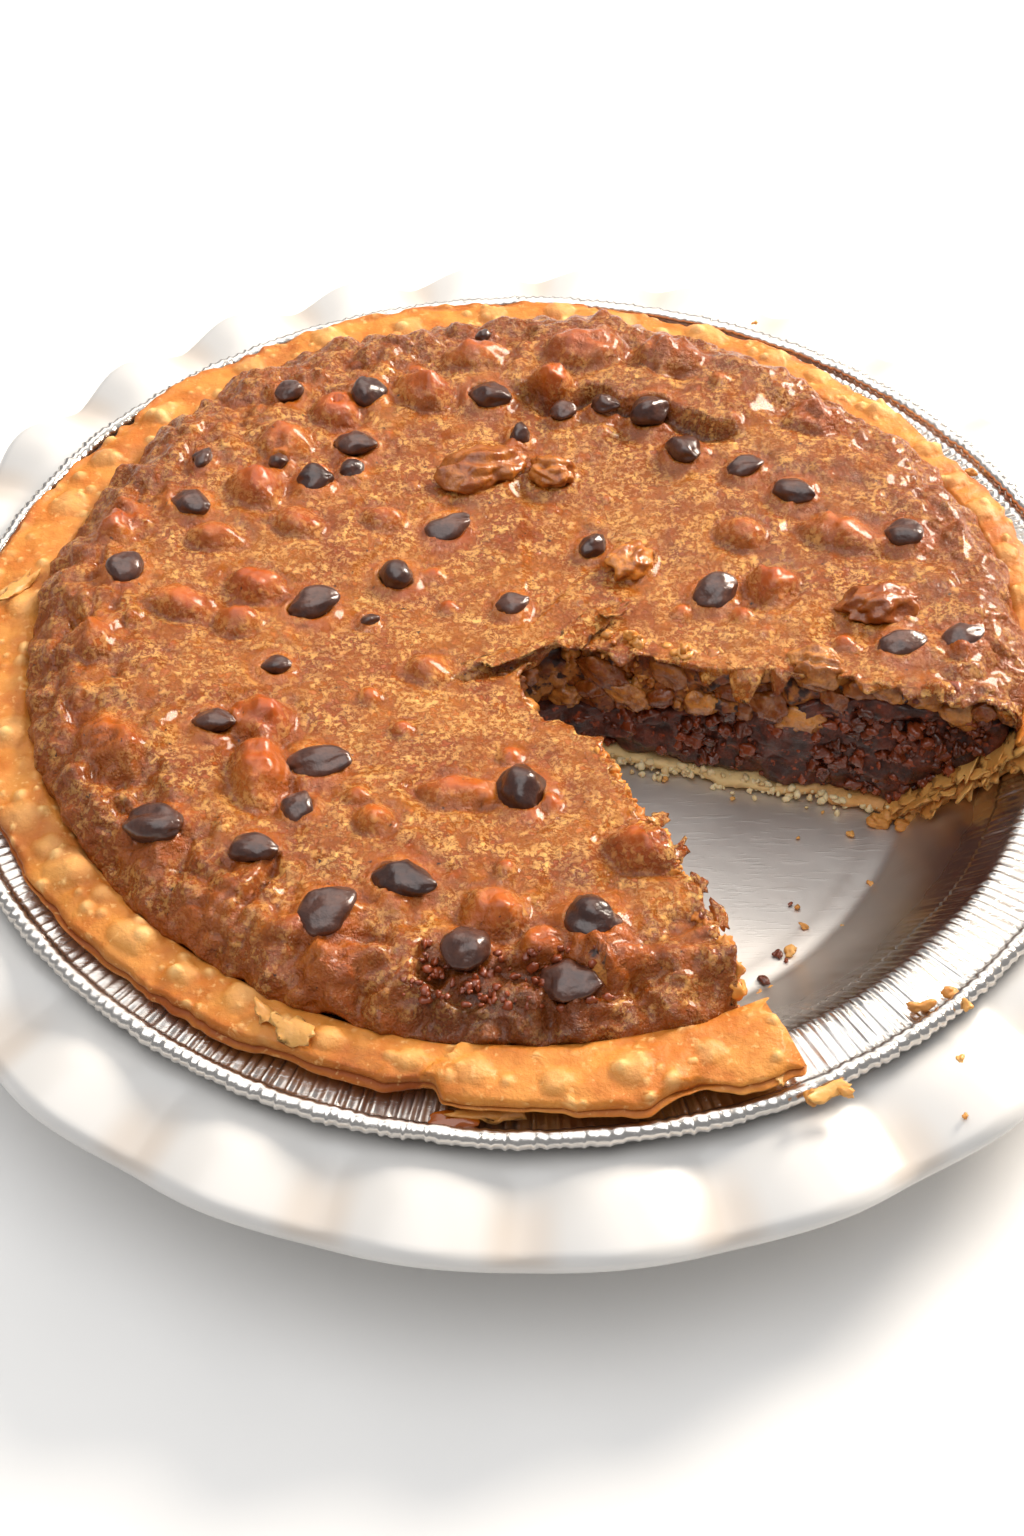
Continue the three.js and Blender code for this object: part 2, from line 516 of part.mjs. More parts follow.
/** A bare walnut piece: a rough two-lobed lump, half sunk, grown by a clearance all round. */
function walnutGeometry([x, y, length, width, turn], clearance) {
  const nut = reshape(new THREE.IcosahedronGeometry(1, 1), (point) => {
    const furrow = WALNUT_FURROW.depth * hump(point.x / WALNUT_FURROW.halfWidth);
    const grain = point.clone().multiplyScalar(WALNUT_GRAIN);
    const rough = WALNUT_ROUGHNESS * lumps(grain.x + x, grain.y + y, grain.z);
    point.multiplyScalar(1 - furrow + rough);
  });
  const height = WALNUT_HEIGHT * width;
  nut.scale(length / 2 + clearance, width / 2 + clearance, height / 2 + clearance);
  return nut.rotateZ(radians(turn)).translate(x, y, skinHeight(x, y) + WALNUT_PROUD);
}

function buildNutLayer() {
  const section = new THREE.Path();
  section.moveTo(0, CHOCOLATE_MIDDLE + GAP);
  section.lineTo(CHOCOLATE_INNER, CHOCOLATE_MIDDLE + GAP);
  section.lineTo(CHOCOLATE_OUTER, CHOCOLATE_CREST + GAP);
  section.lineTo(CHOCOLATE_FALL, CHOCOLATE_CREST + GAP);
  section.lineTo(LAYER_EDGE, CHOCOLATE_EDGE + GAP);
  section.lineTo(FILLING_RADIUS, SHOULDER_HEIGHT);
  section.lineTo(FILLING_RADIUS - SKIN_BORDER, SHOULDER_HEIGHT);
  for (let ring = 1; ring <= SKIN_RINGS; ring += 1) {
    const share = 1 - ring / SKIN_RINGS;
    section.lineTo(FILLING_RADIUS * share ** RING_CROWDING, SHOULDER_HEIGHT);
  }
  const disc = reshape(revolve(section, NUT_SEGMENTS, 1), (point) => {
    if (point.z < SHOULDER_HEIGHT - GAP) return;
    const azimuth = THREE.MathUtils.radToDeg(Math.atan2(point.y, point.x));
    const stretch = fillingEdge(azimuth) / FILLING_RADIUS;
    point.set(point.x * stretch, point.y * stretch, 0);
    point.z = skinHeight(point.x, point.y);
  });
  let layer = solidOf(disc).subtract(sliceSolid(NUT_CUT));
  for (const morsel of MORSELS) layer = layer.subtract(solidOf(morselGeometry(morsel, GAP)));
  for (const walnut of WALNUTS) layer = layer.subtract(solidOf(walnutGeometry(walnut, GAP)));
  return geometryOf(layer);
}

// ---------------------------------------------------------------- the whole pie

const pie = new THREE.Group();
pie.add(piece('dish', buildDish(), '#f3f0ec', 0.12));
pie.add(piece('tin', buildTin(), '#b9b6b2', 0.28, 1));
pie.add(piece('crust', buildCrust(), '#d0924f', 0.7));
pie.add(piece('chocolate_layer', buildChocolateLayer(), '#3a211a', 0.35));
pie.add(piece('nut_layer', buildNutLayer(), '#b0703c', 0.45));
MORSELS.forEach((morsel, i) => {
  const name = `morsel_${String(i + 1).padStart(2, '0')}`;
  pie.add(piece(name, morselGeometry(morsel, 0), '#3b2620', 0.35));
});
WALNUTS.forEach((walnut, i) => {
  pie.add(piece(`walnut_${i + 1}`, walnutGeometry(walnut, 0), '#b06a35', 0.4));
});

export default pie;
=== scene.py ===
"""A chocolate nut pie with one slice taken out, in its foil tin and its ruffled ceramic dish.

The plain solids of the frame are dressed here: each visible layer is a finer copy of its solid, with
the relief that baking and cutting gave it, and crumbs, flakes, nuts and torn skin are laid over them.
Sizes are in millimetres in the row frame, and turn to metres where a mesh is written.
"""

import logging
import math
from collections.abc import Sequence
from dataclasses import dataclass, field
from enum import Enum

import bpy
import numpy as np
from mathutils import Matrix, Vector


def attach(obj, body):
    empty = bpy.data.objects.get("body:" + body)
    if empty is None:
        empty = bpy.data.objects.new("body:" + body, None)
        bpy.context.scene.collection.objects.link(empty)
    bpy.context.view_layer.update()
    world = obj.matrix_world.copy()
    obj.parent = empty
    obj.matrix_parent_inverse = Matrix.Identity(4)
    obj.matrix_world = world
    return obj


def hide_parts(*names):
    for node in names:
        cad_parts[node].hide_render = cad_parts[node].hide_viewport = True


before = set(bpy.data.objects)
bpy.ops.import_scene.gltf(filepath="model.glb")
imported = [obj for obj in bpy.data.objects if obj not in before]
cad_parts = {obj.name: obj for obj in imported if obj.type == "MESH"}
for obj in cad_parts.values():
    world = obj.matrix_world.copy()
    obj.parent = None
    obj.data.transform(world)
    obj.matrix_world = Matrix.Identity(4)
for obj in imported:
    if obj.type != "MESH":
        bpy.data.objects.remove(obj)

MM = 0.001
LOG = logging.getLogger("pie")

# ------------------------------------------------------------------ sizes shared with the solids

BEAD_HEIGHT = 36.5
LIP_HEIGHT = BEAD_HEIGHT + 3.9
FILLING_RADIUS = 103.4
MIDDLE_HEIGHT = BEAD_HEIGHT + 6.0
SHOULDER_HEIGHT = BEAD_HEIGHT + 11.4
SHOULDER_START = 90.0
SHOULDER_FOOT = LIP_HEIGHT + 0.6
TIN_FLOOR = BEAD_HEIGHT - 28.0

# Chocolate morsels on the skin: x, y, length, width, turn in degrees
MORSELS = [
    (-54.3, 70.4, 7, 6, 30), (-36.4, 69.6, 9, 8, 100), (-38.5, 53.3, 11, 7, -10), (-46.8, 41.2, 8.5, 7, 0),
    (-39.0, 45.4, 6, 5.5, 20), (-55.1, 46.8, 5, 4.5, 0), (-72.1, 46.7, 5.5, 5, 60), (-73.5, 32.1, 11, 7, -35),
    (-84.6, 10.8, 8.5, 7.5, 80), (-8.2, 69.4, 11.5, 8, -20), (-9.5, 91.3, 4, 4, 0), (-1.3, 57.8, 5.5, 5, 90),
    (8.6, 64.5, 6, 5, 0), (18.3, 66.1, 7.5, 5.5, -30), (28.6, 63.7, 9.5, 9, 20), (35.6, 51.6, 9.5, 7.5, -50),
    (48.8, 44.8, 9, 5.5, 10), (58.7, 36.2, 10, 6.5, -35), (81.1, 21.2, 9, 7, -25), (88.8, -10.2, 8.5, 6, 15),
    (75.7, -12.0, 10, 6.5, 5), (-17.3, 28.8, 11, 6.5, 20), (-27.9, 13.0, 9, 8.5, -40),
    (-45.2, 2.7, 11.5, 8, 15), (-3.1, 5.5, 7.5, 5.5, 10), (-33.1, 0.0, 4.5, 3.6, 0),
    (-51.4, -14.8, 7.5, 5, -10), (39.5, 7.4, 10, 8.5, 25), (14.2, 23.4, 7, 5.5, 50),
    (-62.2, -31.9, 10, 6, -15), (-41.7, -42.1, 13.5, 6.5, 5), (-70.6, -58.9, 12.5, 8, -15),
    (-51.6, -64.8, 9.5, 6, -10), (-44.0, -53.6, 7.5, 6, 70), (-23.8, -72.8, 12.5, 8, -20),
    (-37.3, -79.7, 11.5, 8.5, 40), (-2.0, -48.3, 11.5, 10.5, 110), (10.8, -81.5, 10.5, 10, -50),
    (-11.5, -88.0, 9.5, 9, 60), (6.6, -94.4, 12, 9, -15),
]
MORSEL_HEIGHT = 0.78
MORSEL_SUNK = 0.12
MORSEL_LEAN = 14.0

# Bare walnut pieces: x, y, length, width, turn
WALNUTS = [
    (-9.9, 45.6, 17, 11.5, 12), (5.4, 45.0, 10, 8.5, -20), (22.4, 18.6, 10, 9, 40), (72.8, -0.2, 15, 10, 10),
]
WALNUT_HEIGHT = 0.7

# Nuts and swellings under the skin: x, y, half length, half width, turn, rise
SWELLINGS = [
    (-23.2, 71, 8, 6.5, -25, 4), (-43, 64.7, 6.5, 6.5, 0, 3.4), (6.4, 73, 6, 6, 0, 3.8),
    (-59.4, 38.9, 7.5, 7, -30, 3.4), (-57.1, 8.8, 7.5, 6, -20, 3.4), (-60.5, -2, 6, 5, 10, 2.6),
    (-72, 2, 9, 5.5, -15, 2.6), (-31.2, 31, 6, 4.5, 0, 2), (-49.5, 27.9, 7, 5, -20, 2),
    (46.7, 25.1, 6.5, 5, -30, 2.3), (51.8, 8.8, 6.5, 7, 0, 3.2), (-53, -30, 7, 8, 80, 4),
    (-52, -44, 6.5, 11, 5, 4.2), (-29.5, -57.2, 4.5, 4.5, 0, 2.6), (-14, -48.6, 9, 5.5, 0, 2.6),
    (-20.3, -13, 6, 5, 0, 2), (14.5, -89.6, 7.5, 6.5, 0, 3.6), (-6.7, -79, 7, 6, 0, 3),
    (1.6, -86.4, 5, 5, 0, 3.2), (-81.9, -37.6, 10, 7, -50, 2.6), (65.8, 61.2, 8, 6, -20, 3),
    (67.6, 23.2, 11, 6, -25, 2.6), (-54.3, 54, 7, 6, 0, 2.6), (21.3, -64, 8, 6.5, -30, 4.2),
    (-88, 26.5, 8.5, 7, 50, 2.6), (-67.4, 22.6, 7, 4.5, 0, 2.2), (-36, -91, 10, 7, 20, 3.2),
    (14, 85, 11, 7, 0, 3.4), (34, 82, 10, 7, -20, 3.2), (-12, 84, 9, 6, 10, 2.6), (-88, -8, 6, 8, 0, 2),
    (-62, -80, 9, 7, 40, 2),
]


class Side(Enum):
    """The two cuts of the missing slice: azimuth in degrees and sideways shift."""

    BACK = (-14.7, -2.4)
    FRONT = (-67.7, -2.0)

    @property
    def along(self) -> np.ndarray:
        """Unit vector outwards along the cut."""
        turn = math.radians(self.value[0])
        return np.array([math.cos(turn), math.sin(turn)])

    @property
    def across(self) -> np.ndarray:
        """Unit vector across the cut, to the left of the way out."""
        along = self.along
        return np.array([-along[1], along[0]])

    @property
    def into_pie(self) -> np.ndarray:
        """Unit vector from the face of the cut into the pie."""
        return self.across if self is Side.BACK else -self.across

    def off(self, points: np.ndarray) -> np.ndarray:
        """How far each point lies to the left of the cut, in mm."""
        return points[:, :2] @ self.across - self.value[1]

    def place(self, out: float, into_gap: float, height: float) -> np.ndarray:
        """A point on the cut face.

        Args:
            out: distance from the middle of the pie along the cut.
            into_gap: how far it stands out of the face into the missing slice.
            height: height above the table.
        """
        flat = self.along * out + self.across * self.value[1] - self.into_pie * into_gap
        return np.array([*flat, height])

    def lay(self, shape: np.ndarray, out: float, into_gap: float, height: float) -> np.ndarray:
        """A shape turned from X to the cut's own direction, and put at a point of its face."""
        turn = np.column_stack([[*self.along, 0], [*self.across, 0], [0, 0, 1]])
        return shape @ turn.T + self.place(out, into_gap, height)


# ------------------------------------------------------------------ fields


def smooth(value: np.ndarray, low: float, high: float) -> np.ndarray:
    """A soft step from 0 at low to 1 at high."""
    share = np.clip((np.asarray(value, float) - low) / (high - low), 0, 1)
    return share * share * (3 - 2 * share)


def hump(q: np.ndarray) -> np.ndarray:
    """A soft hump: 1 where q is 0, falling to 0 where q is 1."""
    return np.maximum(0, 1 - q * q) ** 2


def lattice(i: np.ndarray, j: np.ndarray, k: np.ndarray) -> np.ndarray:
    """A repeatable random number from 0 to 1 for each lattice point."""
    value = np.sin(i * 127.1 + j * 311.7 + k * 74.7) * 43758.5453
    return value - np.floor(value)


def lumps(x: np.ndarray, y: np.ndarray, z: np.ndarray) -> np.ndarray:
    """A smooth random field from -1 to 1, with lumps about one unit across.

    Args:
        x: places along X, in lumps.
        y: places along Y, in lumps.
        z: places along Z, in lumps.

    Returns:
        Values from -1 to 1.
    """
    x, y, z = np.broadcast_arrays(np.asarray(x, float), np.asarray(y, float), np.asarray(z, float))
    base = [np.floor(v) for v in (x, y, z)]
    share = [v - b for v, b in zip((x, y, z), base)]
    share = [t * t * (3 - 2 * t) for t in share]
    total = np.zeros(x.shape)
    for a in (0, 1):
        for b in (0, 1):
            for c in (0, 1):
                weight = (share[0] if a else 1 - share[0]) * (share[1] if b else 1 - share[1])
                weight = weight * (share[2] if c else 1 - share[2])
                total += weight * lattice(base[0] + a, base[1] + b, base[2] + c)
    return 2 * total - 1


def rough(points: np.ndarray, size: float, seed: float = 0.0, octaves: int = 1) -> np.ndarray:
    """The lumps field at points.

    Args:
        points: places in mm.
        size: size of the largest lumps in mm.
        seed: another number gives another field.
        octaves: each further one is half the size and half as strong.

    Returns:
        Values mostly from -1 to 1.
    """
    total = np.zeros(len(points))
    for octave in range(octaves):
        scaled = points * (2**octave / size)
        total += lumps(scaled[:, 0] + seed * 3.7, scaled[:, 1] - seed * 1.3, scaled[:, 2] + seed) / 2**octave
    return total


def grains(points: np.ndarray, size: float, seed: float = 0.0) -> tuple[np.ndarray, np.ndarray]:
    """Splits space into grains about one size across.

    Args:
        points: places in mm.
        size: mean distance between grain centres.
        seed: another number gives other grains.

    Returns:
        Distance to the nearest centre as a share of size, and a random number for that grain.
    """
    scaled = points / size
    base = np.floor(scaled)
    best = np.full(len(points), 9.0)
    tone = np.zeros(len(points))
    for a in (-1, 0, 1):
        for b in (-1, 0, 1):
            for c in (-1, 0, 1):
                cell = base + (a, b, c)
                i, j, k = cell[:, 0], cell[:, 1], cell[:, 2]
                centre = np.stack([lattice(i, j, k + seed + shift) for shift in (0.1, 17.3, 31.7)], 1)
                away = np.linalg.norm(cell + centre - scaled, axis=1)
                nearer = away < best
                best = np.where(nearer, away, best)
                tone = np.where(nearer, lattice(i, j, k + seed + 53.9), tone)
    return best, tone


def round_the_pie(azimuth: np.ndarray, count: float, seed: float) -> np.ndarray:
    """The lumps field read round a circle, with azimuth in degrees.

    Args:
        azimuth: in degrees.
        count: how many lumps go round.
        seed: another number gives another field.

    Returns:
        Values from -1 to 1.
    """
    turn = np.radians(azimuth)
    reach = count / (2 * math.pi)
    return lumps(reach * np.cos(turn) + 50, reach * np.sin(turn) + 50, seed)


def azimuths(points: np.ndarray) -> np.ndarray:
    """Azimuth of each point, in degrees."""
    return np.degrees(np.arctan2(points[:, 1], points[:, 0]))


def filling_edge(azimuth: np.ndarray) -> np.ndarray:
    """Outer radius of the filling."""
    turn = (np.asarray(azimuth) - 120 + 180) % 360 - 180
    return FILLING_RADIUS + 2.4 * hump(turn / 24) + round_the_pie(azimuth, 16, 3)


def from_middle(x: np.ndarray, y: np.ndarray, swelling: Sequence[float]) -> np.ndarray:
    """How far points lie from the middle of a swelling: 0 there, and 1 at its edge.

    Args:
        x: places along X in mm.
        y: places along Y in mm.
        swelling: a row of SWELLINGS.

    Returns:
        Distances in the turned oval, more than 1 beyond its edge.
    """
    middle_x, middle_y, length, width, turn, _ = swelling
    c, s = math.cos(math.radians(turn)), math.sin(math.radians(turn))
    dx, dy = x - middle_x, y - middle_y
    return np.hypot((dx * c + dy * s) / length, (dy * c - dx * s) / width)


def skin_height(x: np.ndarray, y: np.ndarray) -> np.ndarray:
    """Height of the baked skin, as the solid has it.

    Args:
        x: places along X in mm.
        y: places along Y in mm.

    Returns:
        Heights above the table in mm.
    """
    x, y = np.asarray(x, float), np.asarray(y, float)
    radius = np.hypot(x, y)
    azimuth = np.degrees(np.arctan2(y, x))
    edge = filling_edge(azimuth)
    height = MIDDLE_HEIGHT + (SHOULDER_HEIGHT - MIDDLE_HEIGHT) * smooth(radius, 15, SHOULDER_START)
    height = height + 0.7 * lumps(x / 16, y / 16, 1)
    for swelling in SWELLINGS:
        height = height + swelling[-1] * hump(from_middle(x, y, swelling))
    height = height - crumbled(x, y) * 2.4 * (0.6 + 0.4 * lumps(x / 4, y / 4, 2))
    over = np.clip((radius - SHOULDER_START) / (edge - SHOULDER_START), 0, 1)
    return height + (SHOULDER_FOOT - height) * over**3.2


def level_at(x: float, y: float) -> float:
    """Height of the baked skin at one place."""
    return float(skin_height(np.array([x]), np.array([y]))[0])


def crumbled(x: np.ndarray, y: np.ndarray) -> np.ndarray:
    """1 where the skin is broken away at the front shoulder, 0 elsewhere."""
    azimuth, radius = np.degrees(np.arctan2(y, x)), np.hypot(x, y)
    return smooth(azimuth, -104, -100) * smooth(-azimuth, 82, 86) * smooth(radius, 88, 92)


# ------------------------------------------------------------------ meshes


def linear(code: str) -> tuple[float, float, float, float]:
    """An sRGB hex colour as the linear values that a shader takes."""
    parts = [int(code[i : i + 2], 16) / 255 for i in (1, 3, 5)]
    return (*[p / 12.92 if p <= 0.04045 else ((p + 0.055) / 1.055) ** 2.4 for p in parts], 1.0)


def take(obj: bpy.types.Object) -> bpy.types.Object:
    """Selects one object alone and makes it active.

    Args:
        obj: the piece.

    Returns:
        The same piece.
    """
    bpy.ops.object.select_all(action="DESELECT")
    obj.select_set(True)
    bpy.context.view_layer.objects.active = obj
    return obj


def places(obj: bpy.types.Object) -> np.ndarray:
    """The vertices of a piece, in mm.

    Args:
        obj: the piece.

    Returns:
        One place a row.
    """
    flat = np.empty(len(obj.data.vertices) * 3)
    obj.data.vertices.foreach_get("co", flat)
    return flat.reshape(-1, 3) / MM


def put(obj: bpy.types.Object, points: np.ndarray) -> None:
    """Writes the vertices of a piece, from mm."""
    obj.data.vertices.foreach_set("co", (points * MM).ravel())
    obj.data.update()


def facing(obj: bpy.types.Object) -> np.ndarray:
    """The vertex normals of a piece.

    Args:
        obj: the piece.

    Returns:
        One unit vector a row.
    """
    flat = np.empty(len(obj.data.vertices) * 3)
    obj.data.vertex_normals.foreach_get("vector", flat)
    return flat.reshape(-1, 3)


def mark(obj: bpy.types.Object, name: str, values: np.ndarray) -> None:
    """Stores one number for each vertex, for the finish to read."""
    layer = obj.data.attributes.get(name) or obj.data.attributes.new(name, "FLOAT", "POINT")
    layer.data.foreach_set("value", np.asarray(values, np.float32))


def apply(obj: bpy.types.Object, kind: str, **settings: object) -> None:
    """Adds a modifier with its settings and applies it.

    Args:
        obj: the piece.
        kind: Blender's name for the modifier.
        settings: its settings by name.
    """
    take(obj)
    modifier = obj.modifiers.new(kind.lower(), kind)
    for key, value in settings.items():
        setattr(modifier, key, value)
    bpy.ops.object.modifier_apply(modifier=modifier.name)


def mend(obj: bpy.types.Object, threshold: float = 1e-3) -> None:
    """Merges doubles nearer than the threshold in mm, and turns all faces outwards.

    Args:
        obj: the piece.
        threshold: distance in mm.
    """
    take(obj)
    bpy.ops.object.mode_set(mode="EDIT")
    bpy.ops.mesh.select_all(action="SELECT")
    bpy.ops.mesh.remove_doubles(threshold=threshold * MM)
    bpy.ops.mesh.normals_make_consistent(inside=False)
    bpy.ops.object.mode_set(mode="OBJECT")


def new_piece(name: str, points: np.ndarray, edges: list, faces: list) -> bpy.types.Object:
    """A new piece from points in mm, and the edges or faces between them.

    Args:
        name: name of the new piece.
        points: places in mm.
        edges: pairs of indices.
        faces: rows of indices.

    Returns:
        The piece.
    """
    mesh = bpy.data.meshes.new(name)
    mesh.from_pydata((points * MM).tolist(), edges, faces)
    obj = bpy.data.objects.new(name, mesh)
    bpy.context.scene.collection.objects.link(obj)
    return obj


def copy_solid(node: str, name: str) -> bpy.types.Object:
    """A welded copy of a solid of the frame, as a new piece.

    Args:
        node: name of the solid in the frame.
        name: name of the new piece.

    Returns:
        The piece.
    """
    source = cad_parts[node]
    obj = bpy.data.objects.new(name, source.data.copy())
    bpy.context.scene.collection.objects.link(obj)
    obj.data.materials.clear()
    mend(obj)
    return obj


def refine(obj: bpy.types.Object, pitch: float, smoothing: int) -> None:
    """Rebuilds a closed piece from even small faces and softens its facets."""
    apply(obj, "REMESH", mode="VOXEL", voxel_size=pitch * MM, adaptivity=0.0)
    apply(obj, "SMOOTH", factor=0.5, iterations=smoothing)


def halve(obj: bpy.types.Object, point: Sequence[float], normal: Sequence[float]) -> None:
    """Cuts a piece flat, keeps the side the normal points away from, and closes the cut.

    Args:
        obj: the piece.
        point: a point of the cut in mm.
        normal: the way out of the half that stays.
    """
    take(obj)
    bpy.ops.object.mode_set(mode="EDIT")
    bpy.ops.mesh.select_all(action="SELECT")
    bpy.ops.mesh.bisect(
        plane_co=[v * MM for v in point], plane_no=normal, use_fill=True, clear_outer=True, clear_inner=False
    )
    bpy.ops.object.mode_set(mode="OBJECT")


def rounded(corners: Sequence[tuple[float, float, float]], step: float) -> np.ndarray:
    """A profile with soft corners.

    Args:
        corners: radius, height and softness of each corner, in mm.
        step: largest distance between two of its points.

    Returns:
        The points of the profile, one a row.
    """
    ends = [np.array(c[:2], float) for c in corners]
    path = [ends[0]]
    for i in range(1, len(corners) - 1):
        before, here, after = ends[i - 1], ends[i], ends[i + 1]
        reach = min(corners[i][2], 0.49 * np.linalg.norm(here - before), 0.49 * np.linalg.norm(after - here))
        start = here + (before - here) / np.linalg.norm(before - here) * reach
        stop = here + (after - here) / np.linalg.norm(after - here) * reach
        if corners[i][2] <= 0:
            path.append(here)
            continue
        for t in np.linspace(0, 1, 5):
            path.append((1 - t) ** 2 * start + 2 * t * (1 - t) * here + t * t * stop)
    path.append(ends[-1])
    dense = [path[0]]
    for a, b in zip(path, path[1:]):
        count = max(1, math.ceil(np.linalg.norm(b - a) / step)) if max(a[0], b[0]) > 60 else 1
        dense += [a + (b - a) * (i + 1) / count for i in range(count)]
    return np.array(dense)


def spin(name: str, profile: np.ndarray, steps: int) -> bpy.types.Object:
    """Spins a profile of radius and height about the upright axis into a closed piece.

    Args:
        name: name of the new piece.
        profile: radius and height in mm, one point a row.
        steps: how many steps go round.

    Returns:
        The piece.
    """
    points = np.insert(profile, 1, 0.0, axis=1)
    obj = new_piece(name, points, [(i, i + 1) for i in range(len(points) - 1)], [])
    apply(
        obj, "SCREW", angle=2 * math.pi, steps=steps, render_steps=steps, axis="Z", use_merge_vertices=True,
        merge_threshold=1e-6,
    )
    mend(obj)
    return obj


def grid(name: str, columns: int, rows: int) -> bpy.types.Object:
    """A flat sheet with its columns along X and rows along Y, each from 0 to 1 mm.

    Args:
        name: name of the new piece.
        columns: how many faces along X.
        rows: how many faces along Y.

    Returns:
        The piece.
    """
    bpy.ops.object.select_all(action="DESELECT")
    bpy.ops.mesh.primitive_grid_add(x_subdivisions=columns, y_subdivisions=rows, size=1, location=(0, 0, 0))
    obj = bpy.context.object
    obj.name = obj.data.name = name
    put(obj, places(obj) * MM + (0.5, 0.5, 0))
    return obj


def seed_mesh(kind: str, level: int) -> tuple[np.ndarray, np.ndarray]:
    """Vertices and triangles of a unit ball to shape copies from.

    Args:
        kind: "ico" for even triangles, or "uv" for rings about the Y axis.
        level: subdivisions of the one, or rings of the other.

    Returns:
        The vertices, and the triangles as rows of indices.
    """
    bpy.ops.object.select_all(action="DESELECT")
    if kind == "ico":
        bpy.ops.mesh.primitive_ico_sphere_add(subdivisions=level, radius=1, location=(0, 0, 0))
    else:
        bpy.ops.mesh.primitive_uv_sphere_add(
            segments=2 * level, ring_count=level, radius=1, rotation=(-math.pi / 2, 0, 0)
        )
        bpy.ops.object.transform_apply(location=False, rotation=True, scale=False)
    obj = bpy.context.object
    obj.data.calc_loop_triangles()
    corners = np.empty(len(obj.data.loop_triangles) * 3, int)
    obj.data.loop_triangles.foreach_get("vertices", corners)
    points = places(obj) * MM
    bpy.data.objects.remove(obj)
    return points, corners.reshape(-1, 3)


def gather(
    name: str, shapes: Sequence[np.ndarray], corners: Sequence[np.ndarray], tones: Sequence[float]
) -> bpy.types.Object:
    """One piece made of many small closed shapes.

    Args:
        name: name of the piece.
        shapes: the vertices of each shape, in mm.
        corners: the triangles of each shape.
        tones: one random number a shape, kept as the mark "tone".

    Returns:
        The piece.
    """
    start, faces = 0, []
    for shape, triangles in zip(shapes, corners):
        faces.append(triangles + start)
        start += len(shape)
    obj = new_piece(name, np.concatenate(shapes), [], np.concatenate(faces).tolist())
    mark(obj, "tone", np.concatenate([np.full(len(s), t) for s, t in zip(shapes, tones)]))
    return obj


def turned(points: np.ndarray, about: Sequence[float], degrees: float) -> np.ndarray:
    """Points turned about an axis through the origin."""
    matrix = np.array(Matrix.Rotation(math.radians(degrees), 3, Vector(about)))
    return points @ matrix.T


def jagged(
    ball: np.ndarray, draw: np.random.Generator, depth: float, size: float, octaves: int = 2
) -> np.ndarray:
    """A ball with its own crags, about size across and depth deep, as shares of its radius."""
    return ball * (1 + depth * rough(ball + draw.uniform(0, 50, 3), size, 1, octaves))[:, None]


def keep(obj: bpy.types.Object, finish: bpy.types.Material, nodes: Sequence[str] = ()) -> None:
    """Finishes a piece: shading, finish, the solids it stands for, and the body it rides on.

    Args:
        obj: the piece.
        finish: the material it takes.
        nodes: the solids that it takes the place of.
    """
    if not obj.data.materials:
        obj.data.materials.append(finish)
    obj.data.shade_smooth()
    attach(obj, "root")
    if nodes:
        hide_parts(*nodes)
    obj.data.calc_loop_triangles()
    LOG.info("%s: %d triangles", obj.name, len(obj.data.loop_triangles))


# ------------------------------------------------------------------ finishes


def add_node(
    tree: bpy.types.NodeTree, kind: str, inputs: dict | None = None, out: int = 0, **settings: object
) -> bpy.types.NodeSocket | None:
    """Adds one node to a tree.

    Args:
        tree: the material's node tree.
        kind: Blender's name for the node, after ShaderNode.
        inputs: for each input, by name or number, a socket to link, a hex colour or a plain value.
        out: number of the output wanted.
        settings: the node's properties by name.

    Returns:
        That output, or nothing from a node without outputs.
    """
    node = tree.nodes.new(f"ShaderNode{kind}")
    for key, value in settings.items():
        setattr(node, key, value)
    for key, value in (inputs or {}).items():
        if isinstance(value, bpy.types.NodeSocket):
            tree.links.new(value, node.inputs[key])
        else:
            node.inputs[key].default_value = linear(value) if isinstance(value, str) else value
    return node.outputs[out] if len(node.outputs) else None


def per(size: float) -> float:
    """The scale of a texture whose features are a size in mm across."""
    return 1 / (size * MM)


